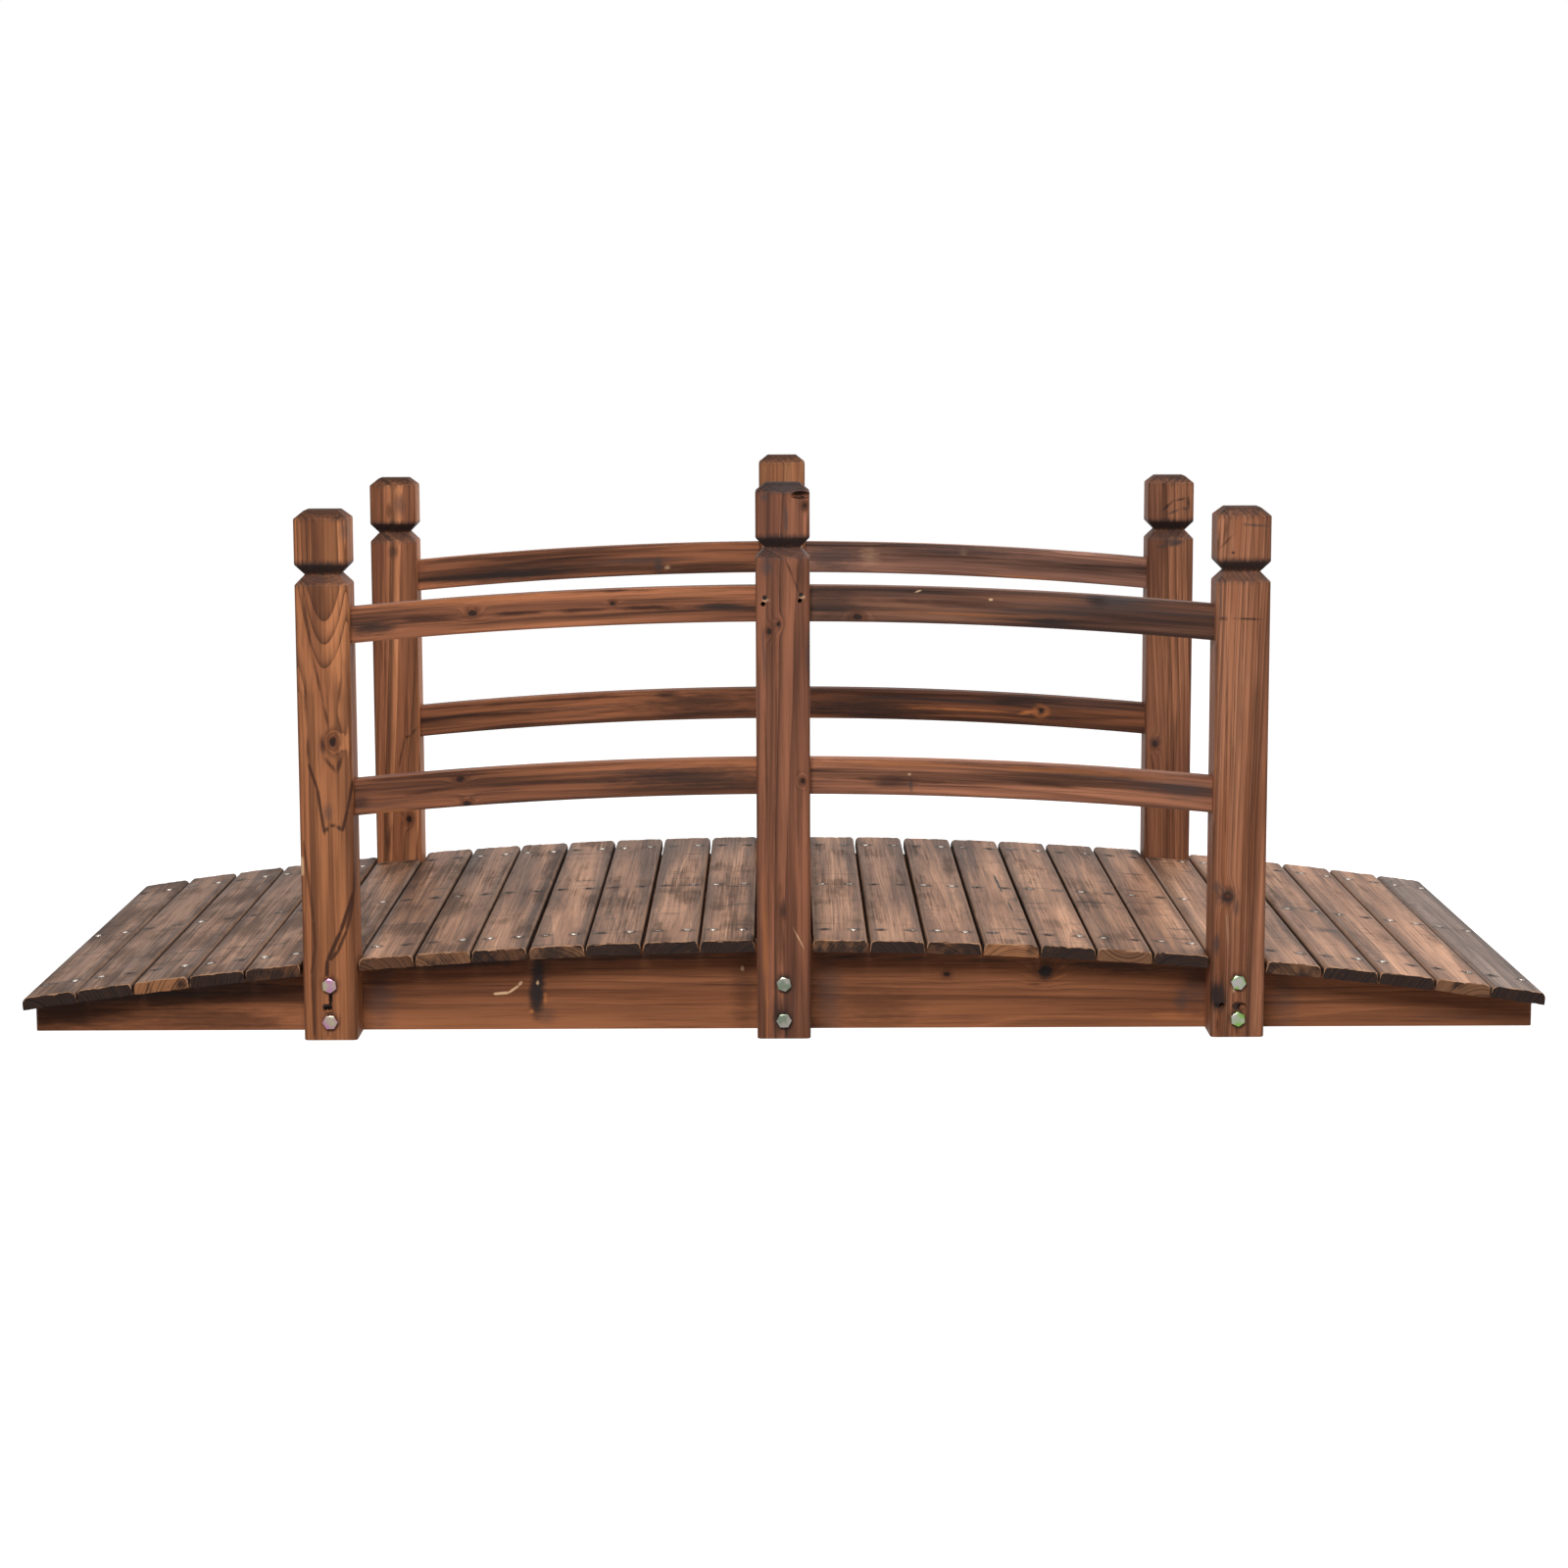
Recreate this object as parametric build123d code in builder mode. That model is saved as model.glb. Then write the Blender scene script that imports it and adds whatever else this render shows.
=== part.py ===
"""Arched garden footbridge in scorched fir, about five feet long.

Three sawn beams with arched top edges carry a deck of nailed planks. Six posts stand against the
outer faces of the side beams, bolted through them, and pairs of curved rails are tenoned into the
posts' sides. X runs along the deck, Y across it and Z up. The origin is on the ground under the
middle of the deck. Lengths are in millimetres.
"""

from build123d import *
import os
from math import cos, sin, sqrt

os.makedirs("parts", exist_ok=True)

# Deck planks, laid edge to edge round the arch
deck_length = 1503.0
plank_gap = 2.25
plank_thickness = 12.0
plank_round = 5.0
plank_setback = 5.0
short_plank_play = 1.0
planks_between_posts = 8
planks_past_end_posts = 5

# Beams, flat below and sawn to an arch above
arch_radius = 5040.0
deck_crown = 97.5
beam_thickness = 32.0
beam_setback = 3.0
beam_ease = 2.0

# Posts, rounded stock with a notched neck and a bevelled cap
full_width = 670.0
post_width = 52.5
post_depth = 50.0
post_round = 4.5
middle_post_height = 544.5
end_post_drop = 24.5
cap_bevel_height = 8.2
cap_bevel_inset = 10.0
cap_face_height = 44.0
neck_depth = 9.5
neck_slope_height = 9.8

# Rails, sawn to a curve and tenoned into the posts
rail_radius = 4450.0
rail_height = 34.5
rail_thickness = 25.0
rail_ease = 2.5
rail_tenon = 12.0
tenon_play = 0.2
upper_rail_drop = 99.5
rail_spacing = 169.0

# Bolt holes through post and beam
bolt_hole = 8.4
lower_bolt_height = 19.0
upper_bolt_edge = 10.3

# Places that follow from the sizes above
beam_crown = deck_crown - plank_thickness
arch_centre = beam_crown - arch_radius
last_plank = planks_between_posts + planks_past_end_posts
plank_pitch = (deck_length + plank_gap) / (2 * last_plank + 1)
plank_width = plank_pitch - plank_gap
plank_step = plank_pitch / arch_radius
plank_length = full_width - 2 * plank_setback
short_plank_length = full_width - 2 * (post_depth + short_plank_play)
end_post_x = arch_radius * sin(planks_between_posts * plank_step)
post_y = full_width / 2 - post_depth / 2
side_beam_y = full_width / 2 - post_depth - beam_thickness / 2
deck_end = arch_radius * sin(last_plank * plank_step) + plank_width / 2 * cos(last_plank * plank_step)
beam_half_length = deck_end - beam_setback
upper_bolt_height = arch_centre + sqrt(arch_radius**2 - end_post_x**2) - upper_bolt_edge
bolt_heights = [lower_bolt_height, upper_bolt_height]
upper_rail_crown = middle_post_height - upper_rail_drop
rail_crowns = {"upper": upper_rail_crown, "lower": upper_rail_crown - rail_spacing}
end_post_height = middle_post_height - end_post_drop
post_heights = {"left": end_post_height, "middle": middle_post_height, "right": end_post_height}
post_places = {"left": -end_post_x, "middle": 0, "right": end_post_x}


def finish(builder, label):
    """Names a finished piece and writes it."""
    builder.part.label = label
    export_step(builder.part, f"parts/{label}.step")


def arc_height(x, crown, radius):
    """Height at x of a circle of this radius whose top stands at the crown over the middle."""
    return crown - radius + sqrt(radius**2 - x**2)


def deck_plank(place, length, label):
    """One plank, a number of places from the middle: flat below, rounded along both upper edges."""
    turn = place * plank_step
    seat = Plane(
        origin=(arch_radius * sin(turn), 0, arch_centre + arch_radius * cos(turn)),
        x_dir=(cos(turn), 0, -sin(turn)),
        z_dir=(0, -1, 0),
    )
    with BuildPart() as plank:
        with BuildSketch(seat):
            Rectangle(plank_width, plank_thickness, align=(Align.CENTER, Align.MIN))
            fillet(vertices().group_by(Axis.Y)[-1], plank_round)
        extrude(amount=length / 2, both=True)
    finish(plank, label)


def beam(y, label, bolt_places):
    """One beam on edge: flat on the ground, arched above, with bolt holes where posts stand."""
    end_height = arc_height(beam_half_length, beam_crown, arch_radius)
    with BuildPart() as timber:
        with BuildSketch(Plane.XZ.offset(-y)):
            with BuildLine():
                left_foot = (-beam_half_length, 0)
                right_foot = (beam_half_length, 0)
                left_top = (-beam_half_length, end_height)
                right_top = (beam_half_length, end_height)
                Polyline(left_top, left_foot, right_foot, right_top)
                ThreePointArc(right_top, (0, beam_crown), left_top)
            make_face()
        extrude(amount=beam_thickness / 2, both=True)
        chamfer(timber.edges().filter_by(Axis.Z), beam_ease)
        if bolt_places:
            with BuildSketch(Plane.XZ.offset(-y)):
                with Locations(*[(x, z) for x in bolt_places for z in bolt_heights]):
                    Circle(bolt_hole / 2)
            extrude(amount=beam_thickness / 2, both=True, mode=Mode.SUBTRACT)
    finish(timber, label)


def rail_band(start, end, crown, play):
    """Side view of a rail from one x to another, with play all round where it is a mortise."""
    upper = rail_radius + play
    lower = rail_radius - rail_height - play
    middle = (start + end) / 2
    top = [(x, arc_height(x, crown + play, upper)) for x in (start, middle, end)]
    foot = [(x, arc_height(x, crown - rail_height - play, lower)) for x in (end, middle, start)]
    with BuildSketch() as band:
        with BuildLine():
            ThreePointArc(*top)
            Line(top[-1], foot[0])
            ThreePointArc(*foot)
            Line(foot[-1], top[0])
        make_face()
    return band.sketch


def rail(hand, y, crown, label):
    """One curved rail between the middle post and an end post, tenons included, its upper edges eased."""
    inner = post_width / 2 - rail_tenon
    outer = end_post_x - post_width / 2 + rail_tenon
    with BuildPart() as bar:
        with BuildSketch(Plane.XZ.offset(-y)):
            add(rail_band(*sorted((hand * inner, hand * outer)), crown, 0))
        extrude(amount=rail_thickness / 2, both=True)
        chamfer(bar.edges().filter_by(GeomType.CIRCLE).group_by(Axis.Z)[-1], rail_ease)
    finish(bar, label)


def post(x, y, height, hands, label):
    """One post: rounded stock with a notched neck, a bevelled cap and a mortise for each rail it holds."""
    cap_top = height - cap_bevel_height
    cap_foot = cap_top - cap_face_height
    neck = cap_foot - neck_slope_height
    shoulder = neck - neck_slope_height
    across = Plane((x, y, 0), x_dir=(1, 0, 0), z_dir=(0, -1, 0))
    along = Plane((x, y, 0), x_dir=(0, 1, 0), z_dir=(1, 0, 0))
    with BuildPart() as upright:
        with BuildSketch(Plane((x, y, 0))):
            RectangleRounded(post_width, post_depth, post_round)
        extrude(amount=height)
        # A notch sawn into each face below the cap, and the cap's bevels
        for plane, width, reach in ((across, post_width, post_depth), (along, post_depth, post_width)):
            with BuildSketch(plane):
                for hand in (-1, 1):
                    face = hand * width / 2
                    notch_bottom = face - hand * neck_depth
                    bevel_edge = face - hand * cap_bevel_inset
                    with BuildLine():
                        Polyline((face, shoulder), (notch_bottom, neck), (face, cap_foot), close=True)
                    make_face()
                    with BuildLine():
                        Polyline((face, cap_top), (bevel_edge, height), (face, height), close=True)
                    make_face()
            extrude(amount=reach / 2, both=True, mode=Mode.SUBTRACT)
        # Mortises for the rails' tenons
        for hand in hands:
            face = x + hand * post_width / 2
            bottom = face - hand * (rail_tenon + tenon_play)
            for crown in rail_crowns.values():
                with BuildSketch(Plane.XZ.offset(-y)):
                    add(rail_band(*sorted((face, bottom)), crown, tenon_play))
                extrude(amount=rail_thickness / 2 + tenon_play, both=True, mode=Mode.SUBTRACT)
        # Bolt holes right through to the beam
        with BuildSketch(Plane.XZ.offset(-y)):
            with Locations(*[(x, z) for z in bolt_heights]):
                Circle(bolt_hole / 2)
        extrude(amount=post_depth / 2, both=True, mode=Mode.SUBTRACT)
    finish(upright, label)


# Beams
beam(-side_beam_y, "front_beam", post_places.values())
beam(0, "middle_beam", [])
beam(side_beam_y, "rear_beam", post_places.values())

# Planks, whole ones numbered from the left, short ones named for the posts they lie between
short_places = {-planks_between_posts: "left", 0: "middle", planks_between_posts: "right"}
whole_planks = 0
for place in range(-last_plank, last_plank + 1):
    if place in short_places:
        deck_plank(place, short_plank_length, f"short_plank_{short_places[place]}")
    else:
        whole_planks += 1
        deck_plank(place, plank_length, f"deck_plank_{whole_planks:02d}")

# Posts and rails on both sides, where a post takes rails on the hands that face another post
rail_hands = {"left": [1], "middle": [-1, 1], "right": [-1]}
for side, y in {"front": -post_y, "rear": post_y}.items():
    for place, x in post_places.items():
        post(x, y, post_heights[place], rail_hands[place], f"{side}_{place}_post")
    for level, crown in rail_crowns.items():
        rail(-1, y, crown, f"{side}_left_{level}_rail")
        rail(1, y, crown, f"{side}_right_{level}_rail")
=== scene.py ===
"""Looks for the garden bridge: scorched fir, zinc bolts and deck nails in a white studio.

Lengths are in metres, places of marks on boards in millimetres, and notes on the photograph in its pixels.
X runs along the deck, Y across it from front to rear, and Z up.
"""

import math
import random

import bmesh
import bpy
from mathutils import Matrix, Vector


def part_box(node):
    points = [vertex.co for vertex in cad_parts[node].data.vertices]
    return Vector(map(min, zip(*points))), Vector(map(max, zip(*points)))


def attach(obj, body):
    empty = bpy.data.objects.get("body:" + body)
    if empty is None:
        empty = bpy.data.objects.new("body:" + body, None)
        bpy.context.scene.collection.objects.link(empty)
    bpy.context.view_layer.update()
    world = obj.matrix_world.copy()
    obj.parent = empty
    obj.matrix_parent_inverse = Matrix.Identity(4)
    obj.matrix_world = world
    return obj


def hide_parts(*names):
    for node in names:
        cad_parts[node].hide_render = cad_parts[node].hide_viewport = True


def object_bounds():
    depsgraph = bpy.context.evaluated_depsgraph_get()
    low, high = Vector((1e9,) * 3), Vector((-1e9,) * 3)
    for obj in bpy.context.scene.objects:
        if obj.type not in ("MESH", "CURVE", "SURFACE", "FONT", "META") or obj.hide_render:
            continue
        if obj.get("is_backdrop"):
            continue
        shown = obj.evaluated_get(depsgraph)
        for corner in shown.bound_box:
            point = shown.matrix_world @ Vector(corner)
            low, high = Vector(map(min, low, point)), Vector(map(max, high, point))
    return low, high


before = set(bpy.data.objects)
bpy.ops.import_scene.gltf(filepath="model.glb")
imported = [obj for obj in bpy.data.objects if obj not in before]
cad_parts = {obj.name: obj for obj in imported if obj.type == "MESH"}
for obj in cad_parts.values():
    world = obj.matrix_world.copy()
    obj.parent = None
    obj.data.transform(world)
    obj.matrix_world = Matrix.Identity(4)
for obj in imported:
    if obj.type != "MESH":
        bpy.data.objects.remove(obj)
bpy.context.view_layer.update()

# Deck planks round the arch
deck_length = 1.503
plank_gap = 0.00225
plank_thickness = 0.012
plank_round = 0.005
plank_ease = 0.0024
end_ragged = 0.0009
arch_radius = 5.04
beam_crown = 0.0855
last_plank = 13
post_plank = 8
plank_pitch = (deck_length + plank_gap) / (2 * last_plank + 1)
plank_width = plank_pitch - plank_gap
plank_step = plank_pitch / arch_radius

# Posts
post_round = 0.0045
cap_bevel_height = 0.0082
cap_bevel_inset = 0.01
cap_face_height = 0.044
neck_depth = 0.0095
neck_slope_height = 0.0098
post_worn_edge = 0.0009

# Rails
rail_radius = 4.45
rail_height = 0.0345

# Fasteners
bolt_heights = (0.019, 0.0555)
bolt_flats = 0.013
bolt_head_height = 0.0053
bolt_width = 0.008
nut_height = 0.0065
washer_width = 0.0165
washer_height = 0.0016
nail_rows = (-0.269, 0.0, 0.269)
nail_spread = 0.015
nail_width = 0.0066
nail_height = 0.0014
thread_depth = 0.0007
thread_pitch = 0.00125
thread_turns = 3
hexagon_face_share = 0.47
hexagon_rim_share = 0.04
hexagon_dish_share = 0.008
hexagon_bevel = math.radians(30)

# Marks and knots are placed on boards in millimetres
millimetres = 1000

# Shading and welding of all pieces
flat_area = 0.0002
sharp_angle = math.radians(34)
weld_gap = 0.00001

# What is left to chance: how far planks and nails stray, how planks are trimmed and where their pith lies
plank_askew = 0.0012
plank_stray = 0.0003
plank_end_stray = 0.001
plank_trims = (0.0005, 0.0025)
plank_round_shares = (0.75, 1.1)
nail_across_stray = 0.0015
nail_along_stray = 0.0018
nail_lean = 0.13
nail_depths = (-0.0003, 0.0002)
pith_stray = 0.06
pith_depths = (0.02, 0.06)

chance = random.Random(41)


def stray(reach):
    """A chance step to either side."""
    return chance.uniform(-reach, reach)


# Shader nodes

mix_share, mix_under, mix_over, mix_result = 0, 6, 7, 2
seed_spread = (17.3, 5.1, 9.7)


def add_node(tree, kind, **settings):
    """A new shader node with its settings."""
    made = tree.nodes.new("ShaderNode" + kind)
    for setting, value in settings.items():
        setattr(made, setting, value)
    return made


def feed(tree, socket, value):
    """Links another node's output to a socket, or sets it to a plain value."""
    if isinstance(value, bpy.types.NodeSocket):
        tree.links.new(value, socket)
    else:
        socket.default_value = value


def reckon(tree, operation, *values):
    """A sum on numbers."""
    made = add_node(tree, "Math", operation=operation)
    for socket, value in zip(made.inputs, values):
        feed(tree, socket, value)
    return made.outputs["Value"]


def reckon_vector(tree, operation, *values):
    """A sum on vectors."""
    made = add_node(tree, "VectorMath", operation=operation)
    for socket, value in zip(made.inputs, values):
        feed(tree, socket, value)
    return made.outputs["Value" if operation in ("LENGTH", "DOT_PRODUCT") else "Vector"]


def ease(tree, value, start, end):
    """0 up to start and 1 past end, smooth between them, whichever is the higher."""
    made = add_node(tree, "MapRange", interpolation_type="SMOOTHSTEP")
    feed(tree, made.inputs["Value"], value)
    feed(tree, made.inputs["From Min"], start)
    feed(tree, made.inputs["From Max"], end)
    return made.outputs["Result"]


def tint(tree, share, under, over):
    """One colour laid over another by a share."""
    made = add_node(tree, "Mix", data_type="RGBA")
    feed(tree, made.inputs[mix_share], share)
    feed(tree, made.inputs[mix_under], under)
    feed(tree, made.inputs[mix_over], over)
    return made.outputs[mix_result]


def cloud(tree, vector, stretch, seed, detail=2.0, roughness=0.5):
    """Noise with so many lumps to the metre along, across and through the board."""
    scaled = reckon_vector(tree, "MULTIPLY", vector, stretch)
    start = reckon_vector(tree, "MULTIPLY", seed, seed_spread)
    place = reckon_vector(tree, "ADD", scaled, start)
    made = add_node(tree, "TexNoise")
    feed(tree, made.inputs["Vector"], place)
    made.inputs["Scale"].default_value = 1
    made.inputs["Detail"].default_value = detail
    made.inputs["Roughness"].default_value = roughness
    return made.outputs["Fac"]


def new_group(name, inputs, outputs):
    """A node group with named sockets, and its two ends."""
    tree = bpy.data.node_groups.new(name, "ShaderNodeTree")
    for label, value in inputs.items():
        kind = "Vector" if isinstance(value, tuple) else "Float"
        socket = tree.interface.new_socket(label, in_out="INPUT", socket_type="NodeSocket" + kind)
        socket.default_value = value
    for label in outputs:
        tree.interface.new_socket(label, in_out="OUTPUT", socket_type="NodeSocketFloat")
    start = tree.nodes.new("NodeGroupInput").outputs
    end = tree.nodes.new("NodeGroupOutput").inputs
    return tree, start, end


def use_group(tree, group, values):
    """A node group placed in a material with its own values."""
    made = add_node(tree, "Group", node_tree=group)
    for label, value in values.items():
        feed(tree, made.inputs[label], value)
    return made.outputs


def grain_group():
    """Growth rings about a pith line, cut by the board's faces, with streaks, bands, fibre and drift."""
    inputs = {
        "Vector": (0.0, 0.0, 0.0),
        "Seed": 0.0,
        "Pith Side": 0.0,
        "Pith Depth": 0.05,
        "Taper": 0.02,
        "Taper From": -1.0,
        "Taper To": 1.0,
        "Ring Width": 0.004,
        "Wander": 0.01,
        "Bulge": 0.0,
    }
    tree, start, end = new_group("fir_grain", inputs, ["Line", "Shade", "Streak", "Band", "Fibre", "Drift"])
    board = start["Vector"]
    seed = start["Seed"]
    place = add_node(tree, "SeparateXYZ")
    feed(tree, place.inputs["Vector"], board)
    sway = reckon(tree, "SUBTRACT", cloud(tree, board, (2.3, 16, 16), seed, 2), 0.5)
    other_seed = reckon(tree, "ADD", seed, 3.7)
    lift = reckon(tree, "SUBTRACT", cloud(tree, board, (1.7, 11, 11), other_seed, 2), 0.5)
    side = reckon(tree, "ADD", place.outputs["Y"], start["Pith Side"])
    side = reckon(tree, "MULTIPLY_ADD", sway, start["Wander"], side)
    depth = reckon(tree, "ADD", place.outputs["Z"], start["Pith Depth"])
    reach = reckon(tree, "MAXIMUM", place.outputs["X"], start["Taper From"])
    reach = reckon(tree, "MINIMUM", reach, start["Taper To"])
    depth = reckon(tree, "MULTIPLY_ADD", reach, start["Taper"], depth)
    depth = reckon(tree, "MULTIPLY_ADD", lift, start["Wander"], depth)
    side_square = reckon(tree, "MULTIPLY", side, side)
    depth_square = reckon(tree, "MULTIPLY", depth, depth)
    squares = reckon(tree, "ADD", side_square, depth_square)
    radius = reckon(tree, "ADD", reckon(tree, "SQRT", squares), start["Bulge"])
    count = reckon(tree, "DIVIDE", radius, start["Ring Width"])
    step = reckon(tree, "MULTIPLY_ADD", count, 0.37, seed)
    uneven = add_node(tree, "TexNoise", noise_dimensions="1D")
    feed(tree, uneven.inputs["W"], step)
    uneven.inputs["Scale"].default_value = 1
    count = reckon(tree, "MULTIPLY_ADD", uneven.outputs["Fac"], 2.4, count)
    within = reckon(tree, "FRACT", count)
    line = reckon(tree, "MULTIPLY", reckon(tree, "POWER", within, 1.9), ease(tree, within, 1.0, 0.94))
    ring = reckon(tree, "ADD", reckon(tree, "FLOOR", count), seed)
    each = add_node(tree, "TexWhiteNoise", noise_dimensions="1D")
    feed(tree, each.inputs["W"], ring)
    shade = each.outputs["Value"]
    strength = reckon(tree, "MULTIPLY_ADD", shade, 0.7, 0.3)
    feed(tree, end["Line"], reckon(tree, "MULTIPLY", line, strength))
    feed(tree, end["Shade"], shade)
    bent = add_node(tree, "CombineXYZ")
    feed(tree, bent.inputs["X"], place.outputs["X"])
    feed(tree, bent.inputs["Y"], side)
    feed(tree, bent.inputs["Z"], depth)
    feed(tree, end["Streak"], cloud(tree, bent.outputs["Vector"], (2.2, 95, 95), other_seed, 3, 0.6))
    feed(tree, end["Band"], cloud(tree, bent.outputs["Vector"], (1.6, 42, 42), seed, 3, 0.55))
    feed(tree, end["Fibre"], cloud(tree, board, (9, 480, 480), seed, 4, 0.65))
    feed(tree, end["Drift"], cloud(tree, board, (3.1, 24, 24), other_seed, 3))
    return tree


def knot_group():
    """A knot at a place in the board, and how far it pushes the rings aside."""
    inputs = {"Vector": (0.0, 0.0, 0.0), "Place": (0.0, 0.0, 0.0), "Size": 0.006, "Seed": 0.0}
    tree, start, end = new_group("fir_knot", inputs, ["Core", "Rim", "Bulge"])
    offset = reckon_vector(tree, "SUBTRACT", start["Vector"], start["Place"])
    squeezed = reckon_vector(tree, "MULTIPLY", offset, (0.7, 1.0, 0.5))
    away = reckon(tree, "DIVIDE", reckon_vector(tree, "LENGTH", squeezed), start["Size"])
    ragged = reckon(tree, "SUBTRACT", cloud(tree, offset, (220, 300, 300), start["Seed"], 3), 0.5)
    away = reckon(tree, "MULTIPLY_ADD", ragged, 0.7, away)
    feed(tree, end["Core"], ease(tree, away, 1.0, 0.55))
    feed(tree, end["Rim"], ease(tree, away, 2.3, 0.9))
    fall = reckon(tree, "MULTIPLY", reckon(tree, "MULTIPLY", away, away), -0.25)
    spread = reckon(tree, "POWER", math.e, fall)
    feed(tree, end["Bulge"], reckon(tree, "MULTIPLY", spread, reckon(tree, "MULTIPLY", start["Size"], 1.8)))
    return tree


def mark_group():
    """A stain, crack, scratch or patch of painted shade: a patch at a place, turned on the board's face,
    frayed along the grain.

    It is an oval where its power along is 1, and nearer an even band where that is higher.
    """
    inputs = {
        "Vector": (0.0, 0.0, 0.0),
        "Place": (0.0, 0.0, 0.0),
        "Size": (0.01, 0.01, 0.01),
        "Turn": 0.0,
        "Power": (1.0, 1.0, 1.0),
        "Ragged": 0.5,
        "Core": 0.0,
        "Seed": 0.0,
    }
    tree, start, end = new_group("fir_mark", inputs, ["Mask"])
    offset = reckon_vector(tree, "SUBTRACT", start["Vector"], start["Place"])
    turned = add_node(tree, "VectorRotate", rotation_type="Z_AXIS")
    feed(tree, turned.inputs["Vector"], offset)
    feed(tree, turned.inputs["Angle"], start["Turn"])
    shares = reckon_vector(tree, "DIVIDE", turned.outputs["Vector"], start["Size"])
    shares = reckon_vector(tree, "POWER", reckon_vector(tree, "ABSOLUTE", shares), start["Power"])
    away = reckon_vector(tree, "LENGTH", shares)
    ragged = reckon(tree, "SUBTRACT", cloud(tree, offset, (46, 330, 330), start["Seed"], 3, 0.6), 0.5)
    away = reckon(tree, "MULTIPLY_ADD", ragged, reckon(tree, "MULTIPLY", start["Ragged"], 2.4), away)
    feed(tree, end["Mask"], ease(tree, away, 1.0, start["Core"]))
    return tree


def edge_group():
    """A board's long edges, borders and sides, by distance from its middle, and its ends, by facing."""
    inputs = {
        "Vector": (0.0, 0.0, 0.0),
        "Half Size": (0.1, 0.1, 0.1),
        "Width": 0.004,
        "Facing": 0.0,
        "Seed": 0.0,
    }
    tree, start, end = new_group("fir_edges", inputs, ["Arris", "Border", "Side", "End Edge", "End Face"])
    inside = reckon_vector(tree, "ABSOLUTE", start["Vector"])
    inside = reckon_vector(tree, "SUBTRACT", start["Half Size"], inside)
    gap = add_node(tree, "SeparateXYZ")
    feed(tree, gap.inputs["Vector"], inside)
    ragged = cloud(tree, start["Vector"], (38, 210, 210), start["Seed"], 3, 0.6)
    width = reckon(tree, "MULTIPLY", start["Width"], reckon(tree, "MULTIPLY", ragged, 2.0))
    long_edge = reckon(tree, "MAXIMUM", gap.outputs["Y"], gap.outputs["Z"])
    feed(tree, end["Arris"], ease(tree, long_edge, width, 0.0))
    feed(tree, end["Border"], ease(tree, gap.outputs["Y"], reckon(tree, "MULTIPLY", ragged, 0.036), 0.0))
    below = ease(tree, gap.outputs["Z"], 0.0025, 0.005)
    feed(tree, end["Side"], reckon(tree, "MULTIPLY", below, ease(tree, gap.outputs["Y"], 0.0025, 0.001)))
    facing = reckon(tree, "MULTIPLY_ADD", reckon(tree, "SUBTRACT", ragged, 0.5), 0.4, start["Facing"])
    rise = ease(tree, facing, 0.15, 0.4)
    feed(tree, end["End Edge"], reckon(tree, "MULTIPLY", rise, ease(tree, facing, 0.95, 0.7)))
    feed(tree, end["End Face"], ease(tree, start["Facing"], 0.62, 0.88))
    return tree


def scorch_group():
    """Burnt patches, as long and as wide as their stretch makes them, frayed along the grain."""
    inputs = {
        "Vector": (0.0, 0.0, 0.0),
        "Stretch": (20.0, 20.0, 20.0),
        "Seed": 0.0,
        "Reach": 0.4,
        "Grain": 0.5,
    }
    tree, start, end = new_group("fir_scorch", inputs, ["Mask"])
    patch = cloud(tree, start["Vector"], start["Stretch"], start["Seed"], 4, 0.55)
    patch = reckon(tree, "MULTIPLY_ADD", reckon(tree, "SUBTRACT", start["Grain"], 0.5), 0.45, patch)
    edge = reckon(tree, "SUBTRACT", 1.0, start["Reach"])
    feed(tree, end["Mask"], ease(tree, patch, edge, reckon(tree, "ADD", edge, 0.22)))
    return tree


def saw_group():
    """Short dark lines that a saw burnt across a board, in clusters."""
    tree, start, end = new_group("saw_burns", {"Vector": (0.0, 0.0, 0.0), "Seed": 0.0}, ["Mask"])
    burns = cloud(tree, start["Vector"], (150, 13, 13), start["Seed"], 2, 0.45)
    other_seed = reckon(tree, "ADD", start["Seed"], 5.3)
    clusters = ease(tree, cloud(tree, start["Vector"], (11, 18, 18), other_seed, 2), 0.46, 0.62)
    feed(tree, end["Mask"], reckon(tree, "MULTIPLY", ease(tree, burns, 0.58, 0.7), clusters))
    return tree


def nail_ring_group():
    """Dark rings round the three pairs of nails on a plank: partly stained wood, partly painted shade of the
    dimples and shadows round the heads.
    """
    tree, start, end = new_group("nail_ring_stain_and_shade", {"Vector": (0.0, 0.0, 0.0), "Seed": 0.0}, ["Mask"])
    place = add_node(tree, "SeparateXYZ")
    feed(tree, place.inputs["Vector"], start["Vector"])
    along = reckon(tree, "ABSOLUTE", place.outputs["X"])
    outer = reckon(tree, "ABSOLUTE", reckon(tree, "SUBTRACT", along, nail_rows[-1]))
    row = reckon(tree, "MINIMUM", along, outer)
    across = reckon(tree, "SUBTRACT", reckon(tree, "ABSOLUTE", place.outputs["Y"]), nail_spread)
    row_square = reckon(tree, "MULTIPLY", row, row)
    across_square = reckon(tree, "MULTIPLY", across, across)
    squares = reckon(tree, "ADD", row_square, across_square)
    ragged = cloud(tree, start["Vector"], (170, 170, 170), start["Seed"], 3)
    away = reckon(tree, "MULTIPLY_ADD", ragged, 0.004, reckon(tree, "SQRT", squares))
    feed(tree, end["Mask"], ease(tree, away, 0.012, 0.0058))
    return tree


fir_grain = grain_group()
fir_knot = knot_group()
fir_mark = mark_group()
fir_edges = edge_group()
fir_scorch = scorch_group()
saw_burns = saw_group()
nail_ring_stain_and_shade = nail_ring_group()


# Finishes

def rgb(red, green, blue):
    """A colour written as it shows on screen, 0 to 255, made linear."""
    shares = [channel / 255 for channel in (red, green, blue)]
    linear = [c / 12.92 if c < 0.04045 else ((c + 0.055) / 1.055) ** 2.4 for c in shares]
    return (*linear, 1.0)


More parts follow.
